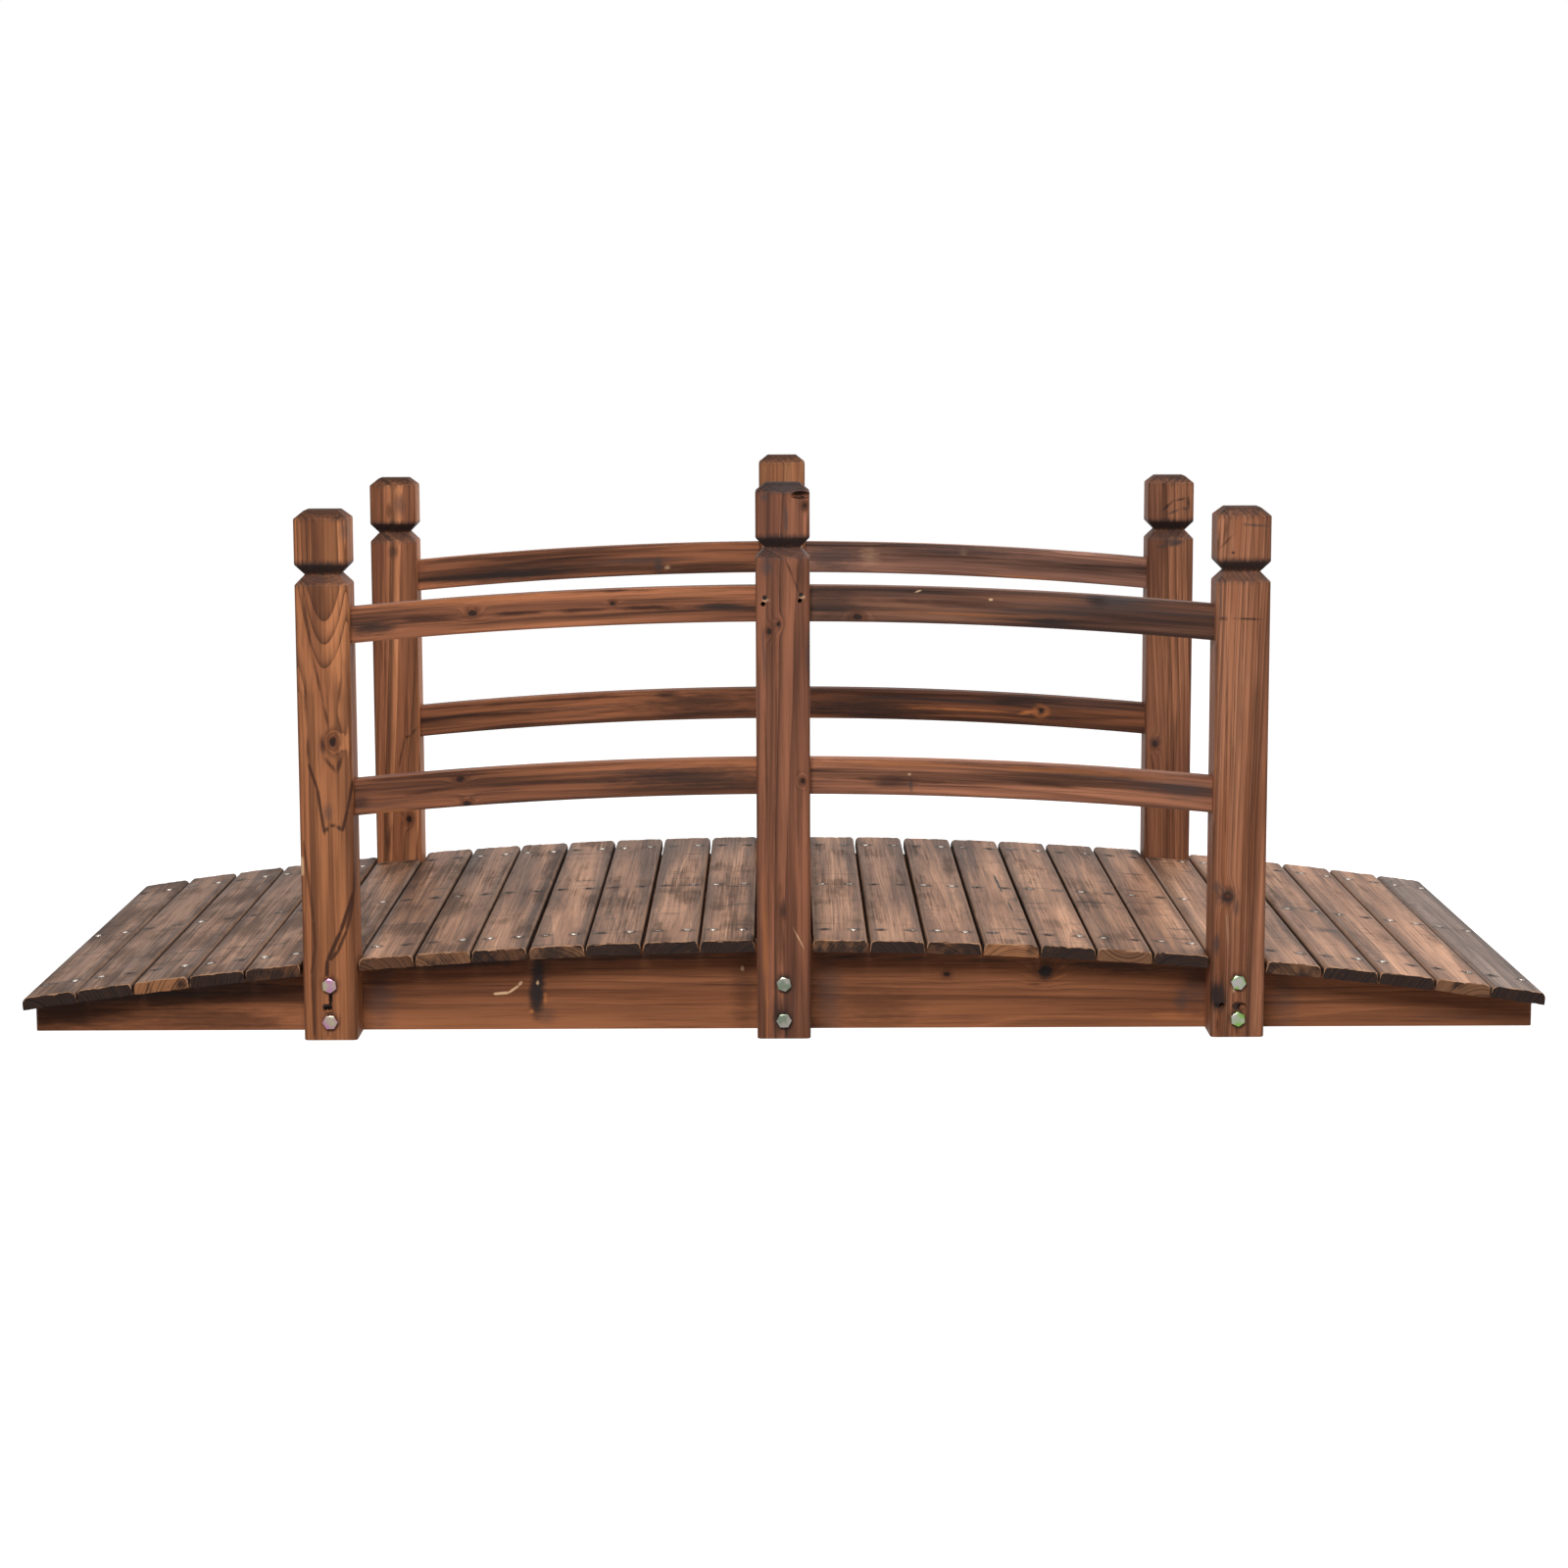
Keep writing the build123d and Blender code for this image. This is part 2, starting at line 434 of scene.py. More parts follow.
def shaded(colour, tone, grey=0.0):
    """A colour made darker or lighter, and greyer by a share."""
    mean = sum(colour[:3]) / 3
    return (*((channel + (mean - channel) * grey) * tone for channel in colour[:3]), 1.0)


charcoal = rgb(36, 29, 28)
soot = rgb(66, 57, 56)
black = rgb(18, 14, 13)
bark = rgb(58, 33, 23)
amber = rgb(184, 114, 68)
cream = rgb(226, 184, 144)
knot_heart = rgb(40, 24, 18)
knot_ring = rgb(84, 48, 31)

# Marks less ragged than this are even bands, and marks wider than this go all round a board
band_ragged = 0.45
wrap_width = 100

post_look = {
    "pale": rgb(190, 126, 84),
    "brown": rgb(144, 88, 58),
    "dark": rgb(56, 31, 21),
    # The post edge colour is dark: painted shade on the rounded edges, partly wear.
    "worn": rgb(74, 46, 34),
    "rings": 0.0032,
    "wander": 0.009,
    "pith_side": 0.03,
    "pith_depth": 0.03,
    "taper": 0.03,
    "taper_from": -1.0,
    "taper_to": 1.0,
    "lines": 0.95,
    "streaks": 0.5,
    "bands": 0.5,
    "scorch": 0.38,
    "scorch_stretch": (7.0, 60.0, 60.0),
    "scorch_share": 0.65,
    "burnt": soot,
    "saw": 0.0,
    "edge_wear_and_shading": 0.55,
    "border": 0.0,
    "edge_width": 0.0034,
    "end_tone": rgb(132, 84, 58),
    "end_char": 0.5,
    "end_edge_wear_and_shading": 0.0,
    "gap_shade": 0.0,
    "rough": 0.56,
    "gloss": 0.12,
}
rail_look = dict(
    post_look,
    pale=rgb(168, 106, 72),
    brown=rgb(116, 71, 50),
    dark=rgb(36, 22, 18),
    # The rail edge colour is dark: painted shade on the rounded edges, partly wear.
    worn=rgb(60, 38, 30),
    rings=0.0036,
    wander=0.012,
    pith_side=0.04,
    pith_depth=0.05,
    taper=0.012,
    lines=0.9,
    streaks=0.85,
    bands=0.8,
    scorch=0.46,
    scorch_stretch=(4.0, 70.0, 70.0),
    scorch_share=0.6,
)
beam_look = dict(
    post_look,
    pale=rgb(170, 108, 72),
    brown=rgb(132, 80, 52),
    dark=rgb(54, 29, 19),
    worn=rgb(150, 96, 66),
    rings=0.0044,
    wander=0.016,
    pith_side=0.05,
    pith_depth=0.09,
    taper=0.006,
    lines=0.6,
    streaks=0.36,
    bands=0.4,
    scorch=0.42,
    scorch_stretch=(3.0, 30.0, 30.0),
    scorch_share=0.55,
    edge_wear_and_shading=0.3,
)
plank_look = dict(
    post_look,
    pale=rgb(170, 128, 101),
    brown=rgb(120, 86, 66),
    dark=rgb(42, 29, 23),
    # The plank edge colour is pale: a painted highlight on the rounded upper edges and ends, partly wear.
    worn=rgb(182, 138, 106),
    wander=0.01,
    pith_depth=0.04,
    taper=0.015,
    lines=0.6,
    streaks=0.4,
    bands=0.55,
    scorch=0.5,
    scorch_stretch=(9.0, 24.0, 24.0),
    scorch_share=0.62,
    border=0.65,
    burnt=rgb(54, 39, 31),
    saw=0.75,
    edge_wear_and_shading=0.5,
    end_edge_wear_and_shading=0.85,
    gap_shade=0.9,
    rough=0.5,
)


def board_axes(along, face):
    """Turn that lays a board's grain along X and its shown face towards Z."""
    along = Vector(along).normalized()
    face = Vector(face).normalized()
    return Matrix((along, face.cross(along), face))


def fir_finish(name, stock, look, seed, knots=(), marks=(), nailed=False):
    """Scorched fir, grained along the board: rings, streaks, burns, knots, marks and sawn ends, with long
    edges partly worn and partly painted light and shade, painted shade on the planks' sides, and dark rings
    round nails, partly stain and partly painted shade.

    The stock is a board's centre, axes, half size and curve. Knots are along, across and radius, and marks
    are along, across, half length, half width, turn in degrees, paint, share, depth and raggedness, in
    millimetres from the middle of the shown face.
    """
    centre, axes, half, curve = stock
    finish = bpy.data.materials.new(name)
    finish.use_nodes = True
    tree = finish.node_tree
    shader = tree.nodes["Principled BSDF"]
    shader.inputs["Specular IOR Level"].default_value = look["gloss"]
    coordinates = add_node(tree, "TexCoord").outputs
    facing = reckon_vector(tree, "DOT_PRODUCT", coordinates["Normal"], axes[0])
    mapping = add_node(tree, "Mapping")
    feed(tree, mapping.inputs["Vector"], coordinates["Object"])
    mapping.inputs["Rotation"].default_value = axes.to_euler()
    mapping.inputs["Location"].default_value = -(axes @ Vector(centre))
    board = mapping.outputs["Vector"]
    if curve:
        place = add_node(tree, "SeparateXYZ")
        feed(tree, place.inputs["Vector"], board)
        straight = add_node(tree, "CombineXYZ")
        square = reckon(tree, "MULTIPLY", place.outputs["X"], place.outputs["X"])
        feed(tree, straight.inputs["X"], place.outputs["X"])
        feed(tree, straight.inputs["Y"], reckon(tree, "MULTIPLY_ADD", square, curve, place.outputs["Y"]))
        feed(tree, straight.inputs["Z"], place.outputs["Z"])
        board = straight.outputs["Vector"]

    bulge, core, rim = 0.0, 0.0, 0.0
    for number, (along, across, size) in enumerate(knots):
        knot = use_group(tree, fir_knot, {
            "Vector": board,
            "Place": (along / millimetres, across / millimetres, half[2]),
            "Size": size / millimetres,
            "Seed": seed + number,
        })
        bulge = reckon(tree, "ADD", knot["Bulge"], bulge)
        core = reckon(tree, "MAXIMUM", knot["Core"], core)
        rim = reckon(tree, "MAXIMUM", knot["Rim"], rim)

    grain = use_group(tree, fir_grain, {
        "Vector": board,
        "Seed": seed,
        "Pith Side": look["pith_side"],
        "Pith Depth": look["pith_depth"],
        "Taper": look["taper"],
        "Taper From": look["taper_from"],
        "Taper To": look["taper_to"],
        "Ring Width": look["rings"],
        "Wander": look["wander"],
        "Bulge": bulge,
    })
    edges = use_group(tree, fir_edges, {
        "Vector": board,
        "Half Size": half,
        "Width": look["edge_width"],
        "Facing": reckon(tree, "ABSOLUTE", facing),
        "Seed": seed,
    })
    burn = use_group(tree, fir_scorch, {
        "Vector": board,
        "Stretch": look["scorch_stretch"],
        "Seed": seed,
        "Reach": look["scorch"],
        "Grain": grain["Fibre"],
    })["Mask"]

    drift = ease(tree, reckon(tree, "MULTIPLY_ADD", grain["Shade"], 0.22, grain["Drift"]), 0.38, 0.82)
    colour = tint(tree, drift, look["brown"], look["pale"])
    rings = reckon(tree, "MULTIPLY", grain["Line"], look["lines"])
    colour = tint(tree, rings, colour, look["dark"])
    streak = ease(tree, grain["Streak"], 0.51, 0.68)
    colour = tint(tree, reckon(tree, "MULTIPLY", streak, look["streaks"]), colour, look["dark"])
    band = ease(tree, grain["Band"], 0.48, 0.68)
    colour = tint(tree, reckon(tree, "MULTIPLY", band, look["bands"]), colour, look["dark"])
    band = ease(tree, grain["Band"], 0.46, 0.28)
    colour = tint(tree, reckon(tree, "MULTIPLY", band, look["bands"]), colour, look["pale"])
    fibre = ease(tree, grain["Fibre"], 0.5, 0.75)
    colour = tint(tree, reckon(tree, "MULTIPLY", fibre, 0.6), colour, look["dark"])
    glint = ease(tree, grain["Fibre"], 0.46, 0.2)
    colour = tint(tree, reckon(tree, "MULTIPLY", glint, 0.3), colour, shaded(look["pale"], 1.4))
    colour = tint(tree, reckon(tree, "MULTIPLY", burn, look["scorch_share"]), colour, look["burnt"])
    if look["border"]:
        colour = tint(tree, reckon(tree, "MULTIPLY", edges["Border"], look["border"]), colour, look["burnt"])
    if look["saw"]:
        lines = use_group(tree, saw_burns, {"Vector": board, "Seed": seed})["Mask"]
        colour = tint(tree, reckon(tree, "MULTIPLY", lines, look["saw"]), colour, charcoal)
    if nailed:
        # Dark rings round the nails: partly stain, partly painted shade round the heads.
        ring_stain_and_shade = use_group(tree, nail_ring_stain_and_shade, {"Vector": board, "Seed": seed})["Mask"]
        colour = tint(tree, reckon(tree, "MULTIPLY", ring_stain_and_shade, 0.85), colour, knot_heart)
    # Long edges take the edge colour: partly wear and partly painted light, shade on post and rail edges and
    # a highlight on plank edges.
    colour = tint(tree, reckon(tree, "MULTIPLY", edges["Arris"], look["edge_wear_and_shading"]), colour, look["worn"])
    # Painted shade in the gaps: the planks' sides below their rounded edges are darkened towards charcoal.
    if look["gap_shade"]:
        colour = tint(tree, reckon(tree, "MULTIPLY", edges["Side"], look["gap_shade"]), colour, charcoal)
    if knots:
        colour = tint(tree, reckon(tree, "MULTIPLY", rim, 0.6), colour, knot_ring)
        colour = tint(tree, core, colour, knot_heart)

    rings = reckon(tree, "MULTIPLY", ease(tree, grain["Line"], 0.05, 0.6), 0.65)
    sawn = tint(tree, rings, look["end_tone"], look["dark"])
    end_burn = use_group(tree, fir_scorch, {
        "Vector": board,
        "Stretch": (40.0, 46.0, 46.0),
        "Seed": seed + 9,
        "Reach": look["end_char"],
    })["Mask"]
    char = reckon(tree, "MULTIPLY_ADD", ease(tree, grain["Line"], 0.3, 0.05), -0.16, 0.96)
    sawn = tint(tree, reckon(tree, "MULTIPLY", end_burn, char), sawn, charcoal)
    colour = tint(tree, edges["End Face"], colour, sawn)
    # Pale line along the rounded top of the sawn ends: partly wear, partly a painted highlight where the edge
    # turns to the light.
    if look["end_edge_wear_and_shading"]:
        end_edge_wear_and_shading = reckon(tree, "MULTIPLY", edges["End Edge"], look["end_edge_wear_and_shading"])
        colour = tint(tree, end_edge_wear_and_shading, colour, look["worn"])

    pits = 0.0
    for number, (along, across, length, width, turn, paint, share, pit, ragged) in enumerate(marks):
        mask = use_group(tree, fir_mark, {
            "Vector": board,
            "Place": (along / millimetres, across / millimetres, half[2]),
            "Size": (length / millimetres, width / millimetres, 1.0 if width > wrap_width else half[2] * 0.7),
            "Turn": math.radians(turn),
            "Power": (4.0 if ragged < band_ragged and length > 2 * width else 1.0, 1.0, 1.0),
            "Ragged": ragged,
            "Core": 0.7 if pit >= 1 else max(0.1, 0.5 - 0.8 * ragged),
            "Seed": seed + number,
        })["Mask"]
        colour = tint(tree, reckon(tree, "MULTIPLY", mask, share), colour, paint)
        if pit:
            pits = reckon(tree, "MULTIPLY_ADD", mask, pit, pits)
    feed(tree, shader.inputs["Base Color"], colour)

    rough = reckon(tree, "MULTIPLY_ADD", grain["Fibre"], 0.16, look["rough"] - 0.08)
    rough = reckon(tree, "MULTIPLY_ADD", burn, 0.12, rough)
    rough = reckon(tree, "MULTIPLY_ADD", edges["End Face"], 0.3, rough)
    feed(tree, shader.inputs["Roughness"], rough)
    height = reckon(tree, "MULTIPLY", grain["Line"], 0.45)
    height = reckon(tree, "MULTIPLY_ADD", grain["Fibre"], 0.5, height)
    height = reckon(tree, "MULTIPLY_ADD", core, -0.8, height)
    height = reckon(tree, "SUBTRACT", height, pits)
    bump = add_node(tree, "Bump")
    bump.inputs["Strength"].default_value = 0.55
    bump.inputs["Distance"].default_value = 0.0007
    feed(tree, bump.inputs["Height"], height)
    feed(tree, shader.inputs["Normal"], bump.outputs["Normal"])
    return finish


def zinc_finish(name, wash, second):
    """Passivated zinc with a faint rainbow wash and dark specks."""
    finish = bpy.data.materials.new(name)
    finish.use_nodes = True
    tree = finish.node_tree
    shader = tree.nodes["Principled BSDF"]
    shader.inputs["Metallic"].default_value = 1.0
    place = add_node(tree, "TexCoord").outputs["Object"]
    patches = add_node(tree, "TexNoise")
    feed(tree, patches.inputs["Vector"], place)
    patches.inputs["Scale"].default_value = 95
    patches.inputs["Detail"].default_value = 2
    colour = tint(tree, ease(tree, patches.outputs["Fac"], 0.4, 0.62), wash, second)
    specks = add_node(tree, "TexNoise")
    feed(tree, specks.inputs["Vector"], place)
    specks.inputs["Scale"].default_value = 900
    specks.inputs["Detail"].default_value = 3
    speck = reckon(tree, "MULTIPLY", ease(tree, specks.outputs["Fac"], 0.6, 0.75), 0.5)
    colour = tint(tree, speck, colour, soot)
    feed(tree, shader.inputs["Base Color"], colour)
    rough = reckon(tree, "MULTIPLY_ADD", specks.outputs["Fac"], 0.25, 0.2)
    feed(tree, shader.inputs["Roughness"], rough)
    return finish


def nail_finish():
    """Steel nail heads, some bright from the hammer and some browned."""
    finish = bpy.data.materials.new("nail_steel")
    finish.use_nodes = True
    tree = finish.node_tree
    shader = tree.nodes["Principled BSDF"]
    age = add_node(tree, "Attribute", attribute_name="age").outputs["Fac"]
    place = add_node(tree, "TexCoord").outputs["Object"]
    rust = add_node(tree, "TexNoise")
    feed(tree, rust.inputs["Vector"], place)
    rust.inputs["Scale"].default_value = 420
    rust.inputs["Detail"].default_value = 3
    browned = ease(tree, reckon(tree, "ADD", age, rust.outputs["Fac"]), 0.85, 1.15)
    colour = tint(tree, browned, rgb(186, 174, 162), rgb(58, 43, 35))
    feed(tree, shader.inputs["Base Color"], colour)
    dulled = reckon(tree, "MULTIPLY", browned, 0.6)
    feed(tree, shader.inputs["Metallic"], reckon(tree, "SUBTRACT", 1.0, dulled))
    feed(tree, shader.inputs["Roughness"], reckon(tree, "MULTIPLY_ADD", browned, 0.35, 0.28))
    return finish


# Pieces

def make_piece(name, shape, finish):
    """A finished bmesh as a piece that rides on the bridge."""
    bmesh.ops.recalc_face_normals(shape, faces=shape.faces)
    mesh = bpy.data.meshes.new(name)
    shape.to_mesh(mesh)
    shape.free()
    mesh.shade_smooth()
    mesh.set_sharp_from_angle(angle=sharp_angle)
    for face in mesh.polygons:
        if face.area > flat_area:
            face.use_smooth = False
    mesh.materials.append(finish)
    piece = bpy.data.objects.new(name, mesh)
    bpy.context.scene.collection.objects.link(piece)
    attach(piece, "root")
    return piece


def box_of(size):
    """A plain box about the origin."""
    shape = bmesh.new()
    bmesh.ops.create_cube(shape, size=1.0)
    bmesh.ops.scale(shape, vec=size, verts=shape.verts)
    return shape


def runs_along(edge, axis):
    """Whether an edge runs mainly along one axis."""
    step = edge.verts[1].co - edge.verts[0].co
    return abs(step[axis]) > 0.9 * step.length


def round_edges(shape, edges, offset, segments):
    """Rounds edges over."""
    bmesh.ops.bevel(
        shape,
        geom=edges,
        offset=offset,
        offset_type="OFFSET",
        segments=segments,
        profile=0.5,
        affect="EDGES",
        material=-1,
        clamp_overlap=True,
    )


def plank_seat(place):
    """Carries a flat plank to its seat on the arch, so many places from the middle, a touch out of line."""
    turn = place * plank_step
    height = beam_crown - arch_radius + arch_radius * math.cos(turn)
    seat = Matrix.Translation((arch_radius * math.sin(turn), 0, height)) @ Matrix.Rotation(turn, 4, "Y")
    askew = Matrix.Rotation(stray(plank_askew), 4, "Z")
    shift = (stray(plank_stray), stray(plank_end_stray), 0)
    return seat @ Matrix.Translation(shift) @ askew


def make_plank(name, seat, length, finish):
    """One plank: rounded along both upper edges, its ends worn over and ragged."""
    shape = box_of((plank_width, length, plank_thickness))
    upper = [e for e in shape.edges if runs_along(e, 1) and e.verts[0].co.z > 0]
    round_edges(shape, upper, plank_round * chance.uniform(*plank_round_shares), 4)
    foot = -plank_thickness / 2
    above = [e for e in shape.edges if all(v.co.z > foot for v in e.verts)]
    ends = [e for e in above if not runs_along(e, 1)]
    round_edges(shape, ends, plank_ease, 3)
    crosswise = [e for e in shape.edges if runs_along(e, 0) and e.calc_length() > plank_width / 2]
    bmesh.ops.subdivide_edges(shape, edges=crosswise, cuts=10, use_grid_fill=True)
    for vert in shape.verts:
        if abs(vert.co.y) > length / 2 - plank_ease * 1.5:
            vert.co.y -= math.copysign(chance.uniform(0, end_ragged), vert.co.y)
            vert.co.z += chance.uniform(-0.4, 0.4) * end_ragged
    bmesh.ops.translate(shape, vec=(0, 0, plank_thickness / 2), verts=shape.verts)
    bmesh.ops.transform(shape, matrix=seat, verts=shape.verts)
    piece = make_piece(name + "_worn", shape, finish)
    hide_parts(name)


def cut_away(shape, tool):
    """What is left of one shape when another is taken out of it."""
    bodies = []
    for part in (shape, tool):
        mesh = bpy.data.meshes.new("cut")
        part.to_mesh(mesh)
        part.free()
        body = bpy.data.objects.new("cut", mesh)
        bpy.context.scene.collection.objects.link(body)
        bodies.append(body)
    cut = bodies[0].modifiers.new("cut", "BOOLEAN")
    cut.object = bodies[1]
    cut.operation = "DIFFERENCE"
    cut.solver = "EXACT"
    cut.use_self = True
    left = bmesh.new()
    left.from_object(bodies[0], bpy.context.evaluated_depsgraph_get())
    for body in bodies:
        mesh = body.data
        bpy.data.objects.remove(body)
        bpy.data.meshes.remove(mesh)
    return left


def chips(holes, face):
    """Ragged lumps to take out of a post's shown face: each across, up, half width, half height and depth."""
    shape = bmesh.new()
    for across, up, width, height, depth in holes:
        made = bmesh.ops.create_icosphere(shape, subdivisions=2, radius=1.0)["verts"]
        for vert in made:
            lump = vert.co * chance.uniform(0.88, 1.12)
            vert.co = (across + lump.x * width, face + lump.y * depth, up + lump.z * height)
    return shape


def make_post(name, finish, holes=()):
    """One post: rounded stock, notched below a bevelled cap, its edges worn, with any holes and chips."""
    low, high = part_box(name)
    centre = (low + high) / 2
    height = high.z - low.z
    width = high.x - low.x
    depth = high.y - low.y
    cap_top = height - cap_bevel_height
    cap_foot = cap_top - cap_face_height
    neck = cap_foot - neck_slope_height
    shoulder = neck - neck_slope_height
    shape = box_of((width, depth, height))
    bmesh.ops.translate(shape, vec=(0, 0, height / 2), verts=shape.verts)
    round_edges(shape, [e for e in shape.edges if runs_along(e, 2)], post_round, 5)
    for level in (shoulder, neck, cap_foot, cap_top):
        parts = shape.verts[:] + shape.edges[:] + shape.faces[:]
        bmesh.ops.bisect_plane(shape, geom=parts, plane_co=(0, 0, level), plane_no=(0, 0, 1))
    for level, inset in ((neck, neck_depth), (height, cap_bevel_inset)):
        reach_x = width / 2 - inset
        reach_y = depth / 2 - inset
        for vert in shape.verts:
            if abs(vert.co.z - level) < post_worn_edge:
                vert.co.x = max(-reach_x, min(reach_x, vert.co.x))
                vert.co.y = max(-reach_y, min(reach_y, vert.co.y))
    bmesh.ops.remove_doubles(shape, verts=shape.verts, dist=weld_gap)
    sharp = []
    for level in (0, shoulder, cap_foot, cap_top, height):
        sharp += [e for e in shape.edges if all(abs(v.co.z - level) < weld_gap for v in e.verts)]
    round_edges(shape, sharp, post_worn_edge, 2)
    bmesh.ops.translate(shape, vec=(centre.x, centre.y, 0), verts=shape.verts)
    if holes:
        placed = [(centre.x + across, up, *sizes) for across, up, *sizes in holes]
        shape = cut_away(shape, chips(placed, low.y))
    piece = make_piece(name + "_worn", shape, finish)
    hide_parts(name)


def join_part(shape, part, seat):
    """Adds a finished part to a shape, carried to its seat."""
    bmesh.ops.transform(part, matrix=seat, verts=part.verts)
    mesh = bpy.data.meshes.new("part")
    part.to_mesh(mesh)
    part.free()
    shape.from_mesh(mesh)
    bpy.data.meshes.remove(mesh)


def hexagon_reach(angle):
    """How far out a hexagon lies at an angle, for one unit from its middle to its flats."""
    return 1 / math.cos((angle + math.pi / 6) % (math.pi / 3) - math.pi / 6)


def new_verts(made):
    """The vertices that an extrusion made."""
    return [part for part in made["geom"] if isinstance(part, bmesh.types.BMVert)]


def hexagon(flats, height):
    """A hexagon head or nut standing on XY, turned down to a round face above."""
    shape = bmesh.new()
    base = bmesh.ops.create_circle(shape, cap_ends=True, segments=24, radius=1.0)["verts"]
    for vert in base:
        vert.co *= flats / 2 * hexagon_reach(math.atan2(vert.co.y, vert.co.x))
    face_radius = flats * hexagon_face_share
    upper = new_verts(bmesh.ops.extrude_face_region(shape, geom=shape.faces[:]))
    for vert in upper:
        vert.co.z = height - (vert.co.xy.length - face_radius) * math.tan(hexagon_bevel)
    top = [face for face in shape.faces if all(vert in upper for vert in face.verts)]
    rim = new_verts(bmesh.ops.extrude_face_region(shape, geom=top))
    for vert in rim:
        vert.co = Vector((*(vert.co.xy.normalized() * face_radius), height))
    bmesh.ops.delete(shape, geom=top, context="FACES_ONLY")
    top = [face for face in shape.faces if all(vert in rim for vert in face.verts)]
    rim_width = flats * hexagon_rim_share
    bmesh.ops.inset_region(shape, faces=top, thickness=rim_width, depth=flats * hexagon_dish_share)
    return shape


def disc(width, height, segments):
    """A flat round disc about the origin."""
    shape = bmesh.new()
    radius = width / 2
    bmesh.ops.create_cone(
        shape, cap_ends=True, segments=segments, radius1=radius, radius2=radius, depth=height
    )
    return shape


def washer():
    """A flat washer with rounded rims."""
    shape = disc(washer_width, washer_height, 24)
    bmesh.ops.translate(shape, vec=(0, 0, washer_height / 2), verts=shape.verts)
    rims = [edge for edge in shape.edges if not runs_along(edge, 2)]
    round_edges(shape, rims, washer_height / 4, 2)
    return shape


def bolt_tip():
    """The threaded end of a bolt, standing on XY."""
    shape = bmesh.new()
    ridge = bolt_width / 2
    root = ridge - thread_depth
    outline = []
    for turn in range(thread_turns):
        outline += [(root, turn * thread_pitch), (ridge, (turn + 0.5) * thread_pitch)]
    tip = thread_turns * thread_pitch
    outline += [(root, tip), (root * 0.8, tip + thread_depth), (0, tip + thread_depth)]
    verts = [shape.verts.new((reach, 0, height)) for reach, height in outline]
    edges = [shape.edges.new(pair) for pair in zip(verts, verts[1:])]
    bmesh.ops.spin(
        shape, geom=verts + edges, axis=(0, 0, 1), cent=(0, 0, 0), angle=math.tau, steps=16, use_merge=True
    )
    bmesh.ops.remove_doubles(shape, verts=shape.verts, dist=weld_gap)
    return shape


def make_bolts(post, finish):
    """The two bolts of one post: heads outside, washers, nuts and threaded ends inside the beam."""
    low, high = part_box(post)
    beam_low, beam_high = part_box(post.split("_")[0] + "_beam")
    outside = low.y if low.y < 0 else high.y
    inside = beam_high.y if low.y < 0 else beam_low.y
    hand = math.copysign(1, outside)
    outward = Matrix.Rotation(-hand * math.pi / 2, 4, "X")
    inward = Matrix.Rotation(hand * math.pi / 2, 4, "X")
    shape = bmesh.new()
    for height in bolt_heights:
        head = Matrix.Translation(((low.x + high.x) / 2, outside, height)) @ outward
        turn = Matrix.Rotation(chance.uniform(0, math.pi / 3), 4, "Z")
        join_part(shape, hexagon(bolt_flats, bolt_head_height), head @ turn)
        nut = Matrix.Translation(((low.x + high.x) / 2, inside, height)) @ inward
        join_part(shape, washer(), nut)
        nut = nut @ Matrix.Translation((0, 0, washer_height))
        turn = Matrix.Rotation(chance.uniform(0, math.pi / 3), 4, "Z")
        join_part(shape, hexagon(bolt_flats, nut_height), nut @ turn)
        join_part(shape, bolt_tip(), nut @ Matrix.Translation((0, 0, nut_height)))
    make_piece(post.replace("_post", "_bolts"), shape, finish)


def nail_head(age):
    """A flat nail head with a rounded rim, standing on XY, bright or browned by its age."""
    shape = disc(nail_width, nail_height, 12)
    rim = [edge for edge in shape.edges if not runs_along(edge, 2) and edge.verts[0].co.z > 0]
    round_edges(shape, rim, nail_height * 0.6, 2)
    layer = shape.verts.layers.float.new("age")
    for vert in shape.verts:
        vert[layer] = age
    return shape


def make_nails(name, row, finish):
    """One row of nails across all the planks, two to a plank, driven a little off true."""
    shape = bmesh.new()
    for seat in plank_seats:
        for hand in (-1, 1):
            across = hand * nail_spread + stray(nail_across_stray)
            along = row + stray(nail_along_stray)
            lean = Matrix.Rotation(stray(nail_lean), 4, "X")
            lean = lean @ Matrix.Rotation(stray(nail_lean), 4, "Y")
            place = Matrix.Translation((across, along, plank_thickness + chance.uniform(*nail_depths)))
            join_part(shape, nail_head(chance.random()), seat @ place @ lean)
    make_piece(name, shape, finish)


# Camera, at the photograph's place

camera_lens = 77.95
sensor_width = 36.0
camera_place = (-0.0027, -3.606, 0.712)
camera_dip = 0.1394
camera_roll = 0.0033
camera_turn = -0.0015
camera_data = bpy.data.cameras.new("camera")
camera_data.lens = camera_lens
camera_data.sensor_width = sensor_width
camera_data.clip_end = 100.0
camera = bpy.data.objects.new("camera", camera_data)
camera.location = camera_place
camera.rotation_euler = (math.pi / 2 - camera_dip, camera_roll, camera_turn)
bpy.context.scene.collection.objects.link(camera)
bpy.context.scene.camera = camera

# Knots and marks, noted on the photograph in its pixels

photo_width = 1600
mark_growth = 1.5
rail_spot_growth = 1.75
rail_vein_growth = 1.9
rail_share_growth = 1.15
vein_overlap = 1.3
band_overlap = 1.15
dark_paints = (charcoal, bark, soot)
# Heights on the photograph, and how far right of an upright post each post shows there
post_leans = {
    "front_left_post": ((560, -0.5), (860, 3.0)),
    "front_middle_post": ((540, -3.9), (1040, 3.2)),
    "front_right_post": ((560, -8.5), (860, -1.0)),
    "rear_left_post": ((560, -4.0), (860, 4.0)),
    "rear_right_post": ((560, -4.5), (860, 0.0)),
}


def knot(at, radius):
    """A knot, noted by its middle and its radius."""
    return {"at": at, "radius": radius}


